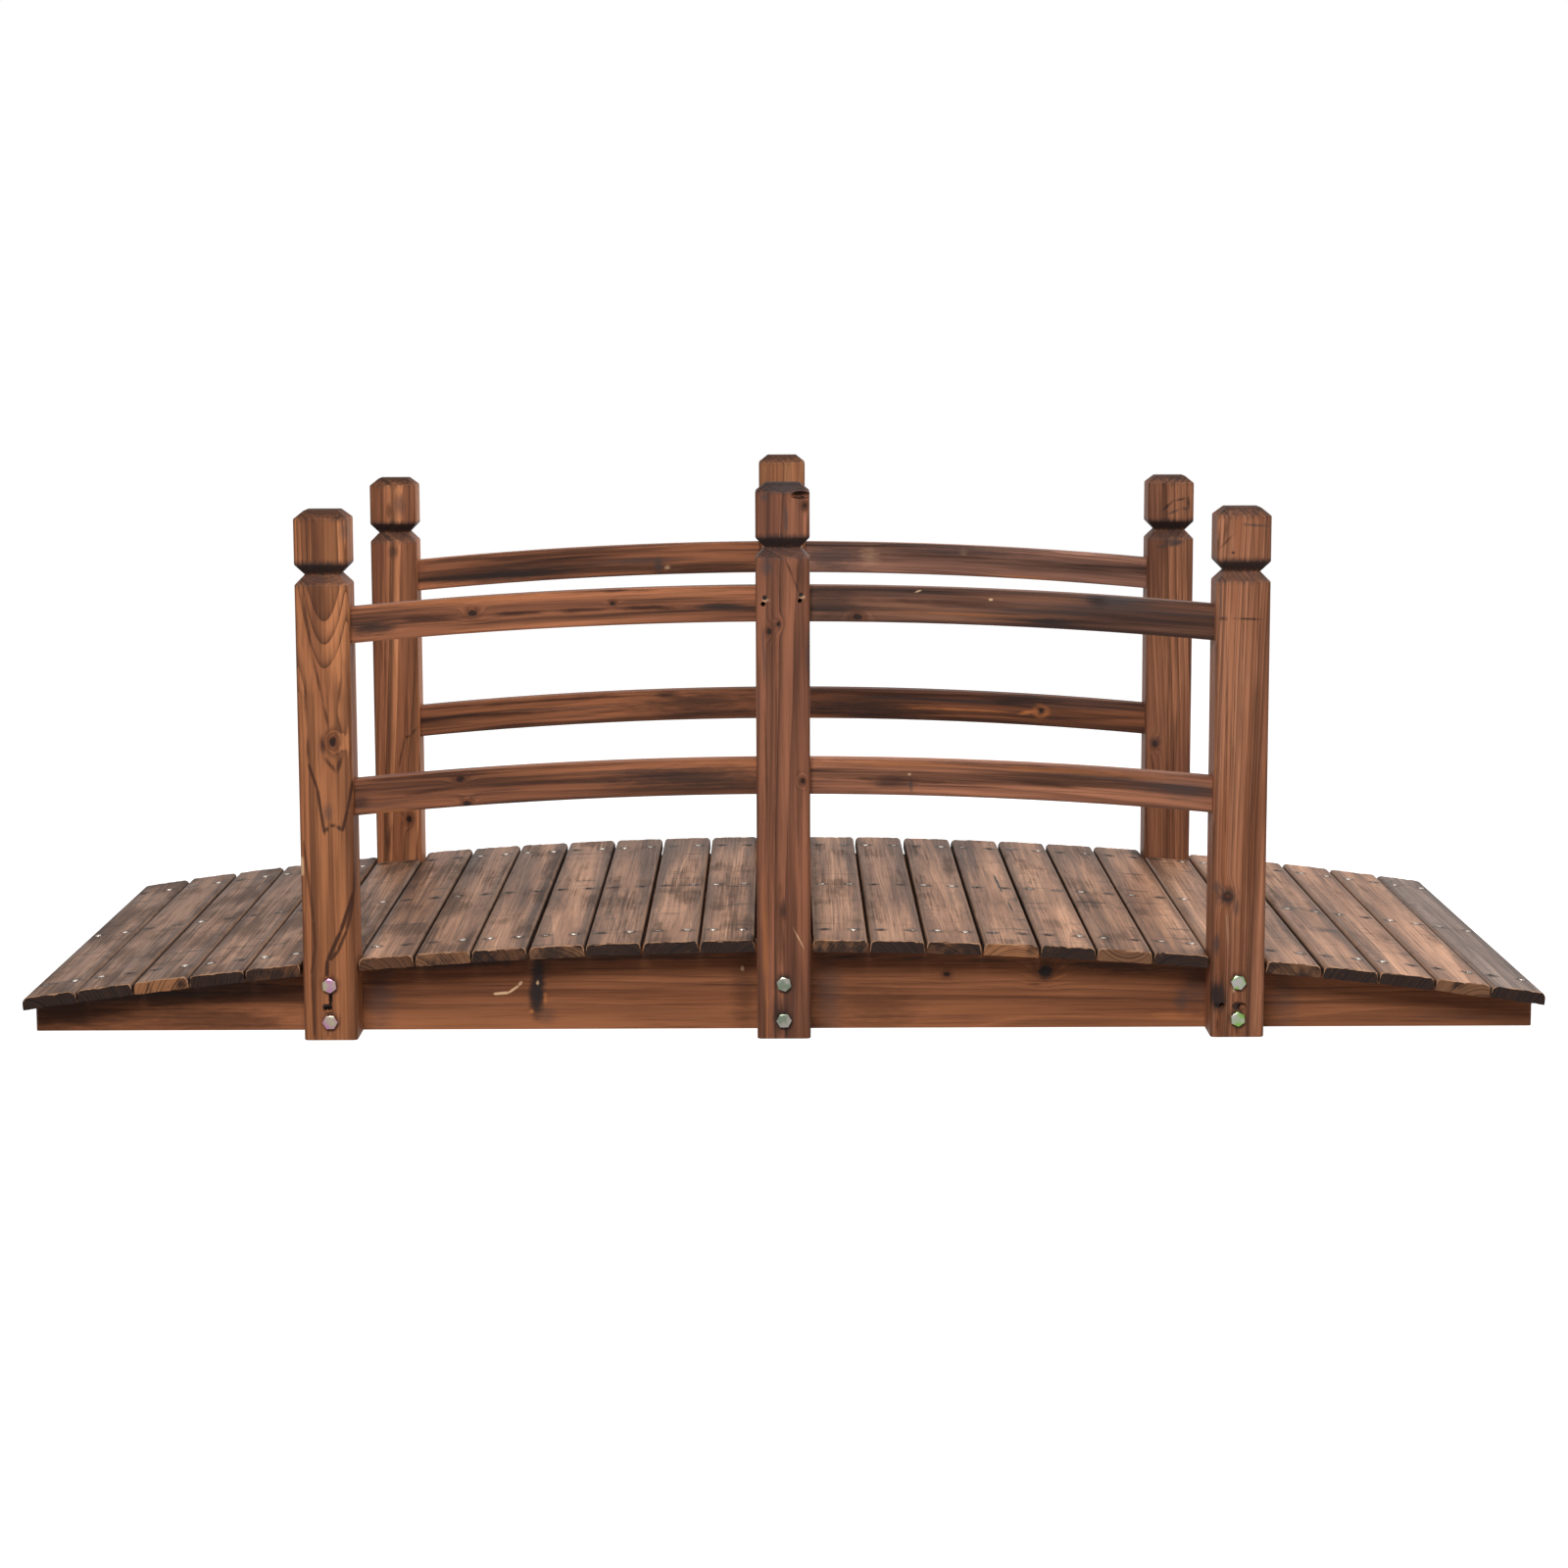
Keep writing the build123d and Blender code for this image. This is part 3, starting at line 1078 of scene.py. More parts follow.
def spot(at, reach, paint, share, pit=0, ragged=0.5):
    """A patch, noted by its middle and its half width and half height."""
    return {"at": at, "reach": reach, "paint": paint, "share": share, "pit": pit, "ragged": ragged}


def vein(through, width, paint, share, pit=0, ragged=0.5):
    """A line, noted by the points that it runs through."""
    return {"through": through, "width": width, "paint": paint, "share": share, "pit": pit, "ragged": ragged}


def on_board(pixel, board):
    """Where a pixel falls on a board's shown face, along and across from its middle in millimetres."""
    centre, axes, half, curve = board
    focal = camera_lens / sensor_width * photo_width
    right = (pixel[0] - photo_width / 2) / focal
    down = (pixel[1] - photo_width / 2) / focal
    sight = camera.rotation_euler.to_matrix() @ Vector((right, -down, -1.0))
    face = Vector(centre) + axes[2] * half[2]
    reach = (face - camera.location).dot(axes[2]) / sight.dot(axes[2])
    place = axes @ (camera.location + sight * reach - Vector(centre))
    return Vector((place.x, place.y + curve * place.x**2)) * millimetres


def upright_pixel(name, pixel):
    """Moves a pixel on a leaning post to where it falls on an upright one."""
    if name not in post_leans:
        return pixel
    (upper, upper_lean), (lower, lower_lean) = post_leans[name]
    share = (pixel[1] - upper) / (lower - upper)
    return (pixel[0] - upper_lean - share * (lower_lean - upper_lean), pixel[1])


def spot_on(name, at, reach, board):
    """A spot's middle, half length and half width on a board."""
    x, y = upright_pixel(name, at)
    middle = on_board((x, y), board)
    side = on_board((x + reach[0], y), board) - middle
    rise = on_board((x, y + reach[1]), board) - middle
    return middle, max(abs(side.x), abs(rise.x)), max(abs(side.y), abs(rise.y))


def mark_row(middle, length, width, turn, paint, share, note):
    """One mark for a finish, to a tenth of a millimetre and a whole degree."""
    sizes = [round(value, 1) for value in (middle.x, middle.y, length, width)]
    return (*sizes, round(math.degrees(turn)), paint, share, note["pit"], note["ragged"])


def knots_on(name, board):
    """Knots on a board: along, across and radius."""
    rows = []
    for note in photo_knots.get(name, ()):
        reach = (note["radius"], note["radius"])
        middle, length, width = spot_on(name, note["at"], reach, board)
        rows.append((round(middle.x, 1), round(middle.y, 1), round(max(length, width), 1)))
    return rows


def marks_on(name, board):
    """Marks on a board, each a little wider than its dark middle, and stronger where dark on a rail."""
    rows = []
    for note in photo_marks.get(name, ()):
        paint = note["paint"]
        dark_rail = name.endswith("_rail") and paint in dark_paints
        share = min(1, note["share"] * rail_share_growth) if dark_rail else note["share"]
        grow = 1 if note["pit"] >= 1 else mark_growth
        if "at" in note:
            grow = rail_spot_growth if dark_rail else grow
            middle, length, width = spot_on(name, note["at"], note["reach"], board)
            rows.append(mark_row(middle, length * grow, width * grow, 0, paint, share, note))
            continue
        grow = rail_vein_growth if dark_rail else grow
        overlap = band_overlap if note["ragged"] < band_ragged else vein_overlap
        points = [upright_pixel(name, point) for point in note["through"]]
        for start, end in zip(points, points[1:]):
            first = on_board(start, board)
            last = on_board(end, board)
            way = last - first
            scale = way.length / math.dist(start, end)
            turn = (math.pi / 2 - math.atan2(way.y, way.x)) % math.pi - math.pi / 2
            middle = (first + last) / 2
            length = way.length / 2 * overlap
            width = note["width"] / 2 * scale * grow
            rows.append(mark_row(middle, length, width, turn, paint, share, note))
    return rows


photo_knots = {
    "front_left_post": [
        knot(at=(341, 757), radius=4.5),
    ],
    "rear_left_post": [
        knot(at=(421, 836), radius=3),
    ],
    "front_middle_post": [
        knot(at=(817, 516), radius=2.4),
        knot(at=(792, 637), radius=2.4),
        knot(at=(782.6, 644.5), radius=2.8),
        knot(at=(819, 797), radius=2.8),
    ],
    "front_right_post": [
        knot(at=(1253, 914.6), radius=4.2),
    ],
    "rear_right_post": [
        knot(at=(1177, 759), radius=2.8),
    ],
    "front_left_upper_rail": [
        knot(at=(482, 625.7), radius=4),
        knot(at=(625.4, 616), radius=2.4),
    ],
    "front_left_lower_rail": [
        knot(at=(469.5, 795), radius=3.8),
        knot(at=(476.6, 820), radius=3.6),
    ],
    "front_right_upper_rail": [
        knot(at=(875, 629.5), radius=4.2),
    ],
    "front_beam": [
        knot(at=(966, 994), radius=3),
        knot(at=(1067, 991), radius=6),
    ],
}
photo_marks = {
    "front_left_post": [
        vein(through=[(308, 605), (319, 665), (331, 718), (337, 742)], width=3.2, paint=bark, share=0.75),
        vein(through=[(349, 690), (345, 728), (352, 758)], width=3.2, paint=bark, share=0.65),
        vein(through=[(330, 750), (332, 772), (346, 789), (352, 768)], width=5, paint=bark, share=0.85),
        vein(through=[(312, 690), (315, 745), (316.8, 780)], width=3.2, paint=bark, share=0.75),
        vein(through=[(316.8, 780), (326, 805), (334, 850)], width=3.2, paint=bark, share=0.9, ragged=0.25),
        vein(
            through=[(362.3, 796), (357, 827), (352.5, 848)],
            width=3.2, paint=bark, share=0.9, ragged=0.25,
        ),
        vein(
            through=[(334, 850), (338, 843), (346, 842), (352, 848)],
            width=4.5, paint=charcoal, share=0.8, ragged=0.4,
        ),
        # Painted shade above and left of the charred mark below.
        spot(at=(337, 829), reach=(6, 9), paint=soot, share=0.5),
        spot(at=(311.5, 884), reach=(1.6, 7), paint=cream, share=0.7, ragged=0.3),
        vein(through=[(366.4, 869), (364.6, 911)], width=3.4, paint=bark, share=0.75, ragged=0.25),
        vein(
            through=[(364.6, 911), (351.6, 951), (338.6, 980), (338, 996)],
            width=4.2, paint=bark, share=0.95, ragged=0.25,
        ),
        vein(
            through=[(364, 919), (358, 949), (349, 971), (341, 980)],
            width=3.6, paint=bark, share=0.85, ragged=0.25,
        ),
        vein(through=[(342, 1010), (342, 1027)], width=4, paint=charcoal, share=0.95, pit=1),
        spot(at=(339, 1028.5), reach=(5.5, 4.5), paint=charcoal, share=1, pit=1.5),
        vein(
            through=[(313, 860), (324, 941), (325.7, 968), (322.5, 994), (326, 1058)],
            width=3.2, paint=bark, share=0.65, ragged=0.3,
        ),
        vein(through=[(340, 1048), (340, 1060)], width=2, paint=bark, share=0.7),
        spot(at=(351, 540), reach=(5, 12), paint=soot, share=0.55),
        spot(at=(345, 528), reach=(9, 5), paint=charcoal, share=0.5),
    ],
    "rear_left_post": [
        spot(at=(403, 516), reach=(6, 12), paint=soot, share=0.6),
        spot(at=(392, 522), reach=(3, 8), paint=bark, share=0.6),
        spot(at=(398, 563), reach=(5, 7), paint=charcoal, share=0.6),
        vein(through=[(408, 787), (414, 753), (421, 750), (427, 741)], width=2.2, paint=bark, share=0.85),
        vein(through=[(402, 834), (400, 874)], width=6, paint=bark, share=0.6),
        vein(through=[(391, 600), (394, 780)], width=2.6, paint=bark, share=0.6),
    ],
    "front_middle_post": [
        spot(at=(797, 498), reach=(21, 6), paint=soot, share=0.85),
        vein(through=[(797, 512), (799, 545)], width=4, paint=soot, share=0.65),
        spot(at=(776, 508), reach=(4, 4), paint=soot, share=0.65),
        spot(at=(779, 579), reach=(7, 8), paint=soot, share=0.6),
        vein(through=[(798.6, 572), (806, 590), (813, 606)], width=2.6, paint=bark, share=0.8),
        spot(at=(812, 586), reach=(9, 16), paint=bark, share=0.4),
        spot(at=(778.8, 612.4), reach=(3.2, 2.2), paint=cream, share=0.55),
        spot(at=(777.4, 610), reach=(2.7, 2.7), paint=charcoal, share=1, pit=2, ragged=0.2),
        spot(at=(815.9, 609.2), reach=(3, 2), paint=cream, share=0.55),
        spot(at=(814.5, 607), reach=(2.5, 2.5), paint=charcoal, share=1, pit=2, ragged=0.2),
        vein(through=[(776, 640), (779, 700)], width=3.4, paint=soot, share=0.65),
        vein(through=[(822, 640), (823, 700)], width=4, paint=soot, share=0.65),
        vein(through=[(779, 700), (783, 840)], width=3, paint=bark, share=0.6),
        vein(through=[(790, 650), (792, 880)], width=2.4, paint=bark, share=0.55),
        vein(through=[(813, 760), (818, 880)], width=7, paint=bark, share=0.5),
        vein(through=[(780, 880), (786, 1050)], width=5, paint=amber, share=0.5),
        vein(through=[(795, 885), (801, 1000)], width=9, paint=bark, share=0.6),
        spot(at=(800.5, 930), reach=(3.6, 11), paint=charcoal, share=0.75),
        vein(through=[(812, 948), (822, 967)], width=1.8, paint=cream, share=0.8),
        spot(at=(799, 1037), reach=(9, 20), paint=charcoal, share=0.8),
        vein(through=[(806, 1045), (806, 1058)], width=3, paint=charcoal, share=0.7),
    ],
    "front_right_post": [
        spot(at=(1252, 914), reach=(12, 9), paint=soot, share=0.5),
        spot(at=(1242.5, 964), reach=(4, 10), paint=soot, share=0.7),
        spot(at=(1245, 1016), reach=(8.5, 15), paint=charcoal, share=0.85, pit=0.3),
        spot(at=(1245, 1014), reach=(8, 13), paint=charcoal, share=0.9, ragged=1),
        spot(at=(1247, 1022), reach=(7, 8), paint=charcoal, share=0.9, ragged=0.8),
        spot(at=(1262, 1010.5), reach=(1.6, 2.2), paint=cream, share=0.7, ragged=0.3),
        spot(at=(1243, 905), reach=(5, 5), paint=soot, share=0.6),
        spot(at=(1263, 925), reach=(4, 8), paint=soot, share=0.55),
        spot(at=(1253, 915.5), reach=(6.5, 5), paint=charcoal, share=0.95, ragged=0.3),
        spot(at=(1253.5, 914.5), reach=(4, 2.4), paint=knot_ring, share=0.9, ragged=0.3),
        spot(at=(1245, 1025.5), reach=(3.2, 3.2), paint=black, share=1, pit=1.5, ragged=0.3),
        spot(at=(1265.5, 1026.5), reach=(5.2, 4.6), paint=charcoal, share=0.95, pit=1),
        vein(through=[(1252, 925), (1255, 972)], width=3, paint=cream, share=0.3),
        vein(through=[(1246, 1038), (1246, 1055)], width=3, paint=bark, share=0.7),
        vein(through=[(1265, 1045), (1266, 1056)], width=2.6, paint=bark, share=0.8),
        vein(through=[(1236, 580), (1240, 640)], width=3, paint=soot, share=0.6),
        vein(through=[(1262, 600), (1262, 800)], width=2.2, paint=bark, share=0.5),
        vein(through=[(1247, 640), (1249, 860)], width=2.2, paint=bark, share=0.5),
        vein(through=[(1236, 631), (1246, 631.5)], width=5, paint=charcoal, share=0.7),
        vein(through=[(1250, 631), (1283, 632)], width=2.4, paint=charcoal, share=0.85),
        spot(at=(1262, 985), reach=(30, 70), paint=bark, share=0.3),
        vein(through=[(1236, 560), (1250, 545)], width=2.6, paint=bark, share=0.6),
        vein(through=[(1256, 535), (1288, 537)], width=3, paint=soot, share=0.75),
        spot(at=(1250, 564), reach=(1.6, 1.6), paint=charcoal, share=0.9),
        vein(through=[(1243, 528), (1241, 556)], width=4, paint=bark, share=0.6),
    ],
    "rear_right_post": [
        spot(at=(1193, 553), reach=(11, 4), paint=soot, share=0.75),
        spot(at=(1177, 757), reach=(6, 5), paint=soot, share=0.55),
        vein(through=[(1172, 760), (1178, 800)], width=2.2, paint=bark, share=0.7),
        vein(through=[(1190, 600), (1190, 860)], width=3, paint=bark, share=0.5),
        vein(through=[(1180, 522), (1192, 511), (1207, 508)], width=2.6, paint=charcoal, share=0.85),
        vein(through=[(1186, 525), (1200, 519), (1208, 519)], width=3.4, paint=soot, share=0.85),
        vein(through=[(1207, 506), (1208, 520)], width=2.6, paint=charcoal, share=0.8),
        vein(through=[(1176, 558), (1188, 557), (1203, 552)], width=4, paint=soot, share=0.8),
    ],
    "front_left_upper_rail": [
        spot(at=(380, 641), reach=(24, 6.5), paint=charcoal, share=0.75),
        vein(through=[(398, 633), (476, 629)], width=7, paint=bark, share=0.75),
        vein(through=[(493, 628), (560, 624), (622, 621.5)], width=3.6, paint=bark, share=0.85),
        vein(through=[(622, 621.5), (700, 619.5)], width=4.4, paint=bark, share=0.9),
        vein(through=[(700, 619.5), (772, 618.5)], width=6.5, paint=charcoal, share=0.75),
        vein(through=[(578, 604), (668, 602)], width=2.6, paint=bark, share=0.8),
        vein(through=[(380, 617), (570, 607)], width=9, paint=amber, share=0.35),
    ],
    "rear_left_upper_rail": [
        vein(through=[(430, 593), (610, 581)], width=13, paint=charcoal, share=0.6),
        vein(through=[(600, 575), (700, 571)], width=6, paint=soot, share=0.55),
        spot(at=(672, 577), reach=(4, 7), paint=soot, share=0.6),
        spot(at=(681, 579), reach=(3, 2), paint=cream, share=0.5),
        vein(through=[(640, 586), (765, 581)], width=4, paint=bark, share=0.6),
    ],
    "front_left_lower_rail": [
        vein(through=[(398, 812), (470, 804)], width=4, paint=bark, share=0.7),
        vein(through=[(470, 803), (640, 795)], width=3.2, paint=bark, share=0.75),
        spot(at=(706, 793), reach=(68, 9.5), paint=charcoal, share=0.65),
        vein(through=[(366, 798), (520, 788)], width=2.6, paint=bark, share=0.7),
        spot(at=(368, 820), reach=(9, 6), paint=charcoal, share=0.6),
        vein(through=[(372, 830), (430, 826)], width=4, paint=amber, share=0.45),
        vein(through=[(400, 790), (640, 778)], width=5, paint=amber, share=0.3),
    ],
    "rear_left_lower_rail": [
        vein(through=[(440, 724), (700, 708)], width=2.2, paint=bark, share=0.7),
        vein(through=[(440, 734), (600, 724)], width=2.2, paint=bark, share=0.7),
        vein(through=[(440, 729), (620, 718)], width=2, paint=amber, share=0.4),
        spot(at=(714, 718), reach=(58, 11), paint=charcoal, share=0.6),
        spot(at=(682, 709), reach=(11, 3), paint=charcoal, share=0.6),
    ],
    "front_right_upper_rail": [
        spot(at=(848, 617), reach=(28, 14), paint=charcoal, share=0.55),
        vein(through=[(933, 604.5), (941, 602)], width=1.8, paint=cream, share=0.85),
        spot(at=(1011, 612), reach=(2, 1.3), paint=cream, share=0.85),
        spot(at=(1074, 635.5), reach=(26, 3.6), paint=charcoal, share=0.75),
        spot(at=(1139, 613), reach=(28, 6.5), paint=soot, share=0.85),
        spot(at=(1120, 612), reach=(9, 7), paint=charcoal, share=0.6),
        vein(through=[(880, 612), (1040, 620)], width=4, paint=bark, share=0.6),
        vein(through=[(900, 624), (1060, 631)], width=3, paint=amber, share=0.35),
    ],
    "rear_right_upper_rail": [
        spot(at=(850, 570), reach=(27, 12), paint=soot, share=0.6),
        spot(at=(888, 568), reach=(8, 8), paint=cream, share=0.2, ragged=1.2),
        spot(at=(983, 563), reach=(4, 3), paint=cream, share=0.25),
        vein(through=[(1000, 586), (1095, 594)], width=5, paint=amber, share=0.4),
        vein(through=[(900, 560), (1060, 566)], width=7, paint=soot, share=0.55),
    ],
    "front_right_lower_rail": [
        vein(through=[(830, 778), (1000, 783), (1185, 793)], width=6, paint=amber, share=0.4),
        spot(at=(910, 799), reach=(18, 5.5), paint=charcoal, share=0.65),
        vein(through=[(1030, 798), (1105, 803)], width=5, paint=bark, share=0.65),
        spot(at=(1210, 806), reach=(38, 9), paint=soot, share=0.45),
        spot(at=(928, 790), reach=(1.6, 1.2), paint=cream, share=0.6),
        vein(through=[(929, 793), (930, 810)], width=3.4, paint=soot, share=0.6),
        vein(through=[(840, 794), (1000, 800)], width=3, paint=bark, share=0.7),
    ],
    "rear_right_lower_rail": [
        spot(at=(885, 722), reach=(60, 8), paint=charcoal, share=0.65),
        spot(at=(1035, 714), reach=(28, 5), paint=charcoal, share=0.6),
        vein(through=[(923, 722), (1040, 727)], width=2.4, paint=amber, share=0.8),
        vein(through=[(1038, 728), (1058, 726)], width=3.6, paint=amber, share=0.95),
        spot(at=(1062.5, 725.5), reach=(7.5, 6.5), paint=amber, share=0.85),
        spot(at=(1062.5, 725.5), reach=(4, 4), paint=charcoal, share=1, pit=0.5),
    ],
    "front_beam": [
        spot(at=(549, 1003), reach=(7, 30), paint=charcoal, share=0.95, pit=0.3, ragged=0.3),
        spot(at=(546, 1018), reach=(6, 18), paint=charcoal, share=0.85, ragged=0.3),
        spot(at=(550, 985), reach=(13, 13), paint=charcoal, share=0.5),
        spot(at=(542.4, 1032), reach=(2.6, 2.3), paint=amber, share=0.95),
        spot(at=(556.5, 1019), reach=(2, 6), paint=amber, share=0.65),
        spot(at=(548.7, 1002.6), reach=(1.5, 2.2), paint=cream, share=0.85),
        vein(
            through=[(504, 1014), (519, 1013), (529, 1006), (533, 1001)],
            width=2.6, paint=cream, share=0.9, ragged=0.3,
        ),
        spot(at=(557, 1036), reach=(10, 9), paint=soot, share=0.4),
        spot(at=(517.5, 981), reach=(6, 5), paint=charcoal, share=0.6),
        spot(at=(1067, 991), reach=(6, 9), paint=charcoal, share=0.9, pit=0.4),
        vein(through=[(1072, 1000), (1090, 994)], width=2.4, paint=amber, share=0.55),
        vein(through=[(1048, 1004), (1066, 1004)], width=2.6, paint=charcoal, share=0.65),
        # Along the beam's top under the plank ends: partly char, partly painted shadow of the planks'
        # overhang.
        vein(through=[(835, 977), (900, 976)], width=5, paint=charcoal, share=0.75),
        vein(through=[(900, 979), (960, 977)], width=5, paint=charcoal, share=0.7),
        vein(through=[(960, 979), (1050, 980)], width=4.6, paint=charcoal, share=0.7),
        spot(at=(890, 1026), reach=(50, 18), paint=bark, share=0.5),
        spot(at=(757.5, 988), reach=(1.7, 2.5), paint=cream, share=1, ragged=0.2),
        vein(through=[(1175, 1036), (1219, 1036)], width=8, paint=amber, share=0.45),
        spot(at=(1205, 1021), reach=(7, 12), paint=soot, share=0.55),
        # Along the top of the beam's left end: partly char, partly painted shadow of the planks' overhang.
        spot(at=(60, 1026), reach=(40, 10), paint=charcoal, share=0.6),
        spot(at=(180, 1010), reach=(120, 8), paint=charcoal, share=0.65),
        # Painted shadows of the posts on the beam, in narrow bands beside each post.
        spot(at=(388, 1016), reach=(14, 40), paint=soot, share=0.5),
        spot(at=(760, 1016), reach=(14, 40), paint=bark, share=0.5),
        spot(at=(845, 1016), reach=(14, 40), paint=soot, share=0.5),
        spot(at=(1220, 1000), reach=(14, 30), paint=soot, share=0.5),
        spot(at=(1310, 1016), reach=(14, 40), paint=soot, share=0.4),
        spot(at=(70, 1032), reach=(60, 20), paint=bark, share=0.8),
        spot(at=(225, 1040), reach=(80, 12), paint=bark, share=0.6),
        # Along the top of the beam's left end and middle: partly char, partly painted shadow of the planks'
        # overhang.
        spot(at=(130, 1016), reach=(110, 10), paint=charcoal, share=0.8),
        spot(at=(240, 1000), reach=(60, 9), paint=charcoal, share=0.7),
        vein(through=[(385, 990), (560, 977)], width=11, paint=charcoal, share=0.75),
        vein(through=[(560, 977), (770, 974)], width=11, paint=charcoal, share=0.75),
        vein(through=[(1050, 982), (1225, 990)], width=11, paint=charcoal, share=0.75),
    ],
    "deck_plank_16": [
        vein(through=[(1014, 893), (1022, 910)], width=0.5, paint=black, share=1, pit=1.2),
        vein(through=[(1028, 920), (1033, 929)], width=0.45, paint=black, share=1, pit=1.2),
    ],
    "deck_plank_13": [
        spot(at=(842, 963), reach=(7, 3), paint=amber, share=0.95),
    ],
}

# Boards and posts

viewer_side = (0, -1, 0)
post_seed = 3.1
rail_seed = 21.7
beam_seed = 41.3
plank_seed = 61.9
upright = board_axes((0, 0, 1), viewer_side)
level = board_axes((1, 0, 0), viewer_side)

post_looks = {
    "front_left_post": dict(
        post_look,
        pith_side=0.004,
        pith_depth=0.03,
        taper=-0.1,
        taper_from=0.08,
        taper_to=0.185,
        rings=0.0036,
        pale=rgb(188, 122, 80),
        brown=rgb(142, 86, 56),
    ),
    "front_middle_post": dict(
        post_look,
        pith_side=0.02,
        taper=0.01,
        pale=rgb(158, 101, 74),
        brown=rgb(112, 69, 51),
        dark=rgb(42, 26, 21),
        end_char=0.9,
    ),
    "front_right_post": dict(
        post_look,
        pith_side=0.07,
        rings=0.003,
        pale=rgb(184, 124, 92),
        lines=0.85,
        streaks=0.35,
    ),
    "rear_left_post": dict(
        post_look,
        pith_side=0.035,
        rings=0.0042,
        pale=rgb(222, 148, 102),
        brown=rgb(162, 101, 69),
    ),
    "rear_middle_post": dict(
        post_look,
        pith_side=0.06,
        rings=0.0055,
        pale=rgb(204, 142, 98),
    ),
    "rear_right_post": dict(
        post_look,
        pith_side=-0.05,
        rings=0.0038,
        pale=rgb(182, 122, 88),
        brown=rgb(130, 84, 63),
    ),
}
# Chips and screw holes in the shown faces: across, up, half width, half height and depth
post_holes = {
    "front_left_post": (
        (-0.0024, 0.0301, 0.005, 0.0042, 0.006),
        (0.0008, 0.0399, 0.0019, 0.0085, 0.004),
    ),
    "front_middle_post": (
        (0.0185, 0.5335, 0.0105, 0.0042, 0.008),
        (-0.019, 0.4285, 0.0024, 0.0024, 0.012),
        (0.0165, 0.4315, 0.0022, 0.0022, 0.012),
    ),
    "front_right_post": (
        (-0.0155, 0.0319, 0.003, 0.003, 0.008),
        (0.0045, 0.031, 0.0046, 0.0042, 0.005),
    ),
}
for number, (name, look) in enumerate(post_looks.items()):
    low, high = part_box(name)
    middle = (low + high) / 2
    half = (high.z / 2, (high.x - low.x) / 2, (high.y - low.y) / 2)
    top = high.z / 2 * millimetres
    neck = top - millimetres * (cap_bevel_height + cap_face_height + neck_slope_height)
    # Dark all round in the neck: painted shade on the slope under the cap, partly char; soot on the shoulder
    # below and charcoal on the cap; then round each bolt a dark halo, painted shadow round the head, partly
    # char.
    marks = [
        (neck + 6, 0, 10, 140, 0, charcoal, 0.95, 0, 0.3),
        (neck - 5, 0, 9, 140, 0, soot, 0.6, 0, 0.8),
        (top, 0, 13, 140, 0, charcoal, 0.75, 0, 0.6),
    ]
    for height in bolt_heights:
        marks.append((height * millimetres - top, 0, 13, 12, 0, charcoal, 0.95, 0.2, 0.3))
    board = (middle, upright, half, 0.0)
    marks += marks_on(name, board)
    finish = fir_finish(name, board, look, post_seed + number, knots_on(name, board), marks)
    make_post(name, finish, post_holes.get(name, ()))

rail_inner_end = 0.01425
# How light each rail is, and how grey
rail_tones = {
    "front_left_upper_rail": (1.2, 0.0),
    "front_left_lower_rail": (1.1, 0.0),
    "front_right_upper_rail": (0.7, 0.2),
    "front_right_lower_rail": (1.5, 0.1),
    "rear_left_upper_rail": (1.3, 0.0),
    "rear_left_lower_rail": (1.0, 0.0),
    "rear_right_upper_rail": (1.7, 0.3),
    "rear_right_lower_rail": (0.85, 0.0),
}
for number, name in enumerate(n for n in sorted(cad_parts) if n.endswith("_rail")):
    low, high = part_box(name)
    middle = (low.x + high.x) / 2
    turn = math.asin(middle / rail_radius)
    axes = board_axes((math.cos(turn), 0, -math.sin(turn)), viewer_side)
    drop = math.sqrt(rail_radius**2 - rail_inner_end**2) - math.sqrt(rail_radius**2 - middle**2)
    centre = Vector((middle, (low.y + high.y) / 2, high.z - drop - rail_height / 2))
    half = ((high.x - low.x) / 2, rail_height / 2, (high.y - low.y) / 2)
    look = dict(
        rail_look,
        pale=shaded(rail_look["pale"], *rail_tones[name]),
        brown=shaded(rail_look["brown"], *rail_tones[name]),
        pith_side=stray(pith_stray),
    )
    board = (centre, axes, half, 0.5 / rail_radius)
    finish = fir_finish(name, board, look, rail_seed + number, knots_on(name, board), marks_on(name, board))
    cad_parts[name].material_slots[0].material = finish

for number, name in enumerate(n for n in sorted(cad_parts) if n.endswith("_beam")):
    low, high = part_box(name)
    half = (high - low) / 2
    half = (half.x, half.z, half.y)
    board = ((low + high) / 2, level, half, 0.0)
    knots = knots_on(name, board)
    finish = fir_finish(name, board, beam_look, beam_seed + number, knots, marks_on(name, board))
    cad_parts[name].material_slots[0].material = finish

plank_places = {"short_plank_left": -post_plank, "short_plank_middle": 0, "short_plank_right": post_plank}
whole = 0
for place in range(-last_plank, last_plank + 1):
    if place not in plank_places.values():
        whole += 1
        plank_places[f"deck_plank_{whole:02d}"] = place

# Front ends of the planks: how far each is charred, and the wood where it isn't
sawn_brown = rgb(96, 64, 46)
sawn_tan = rgb(124, 87, 63)
sawn_raw = rgb(152, 103, 70)
plank_ends = {
    -11: (0.5, sawn_raw),
    -9: (0.6, sawn_brown),
    -7: (0.46, sawn_brown),
    -6: (0.56, sawn_tan),
    -5: (0.64, sawn_brown),
    -4: (0.58, sawn_tan),
    1: (0.68, sawn_tan),
    3: (0.66, sawn_brown),
    4: (0.48, sawn_raw),
    6: (0.4, sawn_tan),
    9: (0.6, sawn_tan),
    12: (0.5, sawn_tan),
}
# The plank whose end shows rings, and planks that are lighter or darker than their neighbours
ringed_plank = 6
ringed_pith_depth = -0.02
plank_tones = {-7: 1.2, 11: 1.2, 12: 1.1, 13: 0.66}
plank_greys = {13: 0.45}
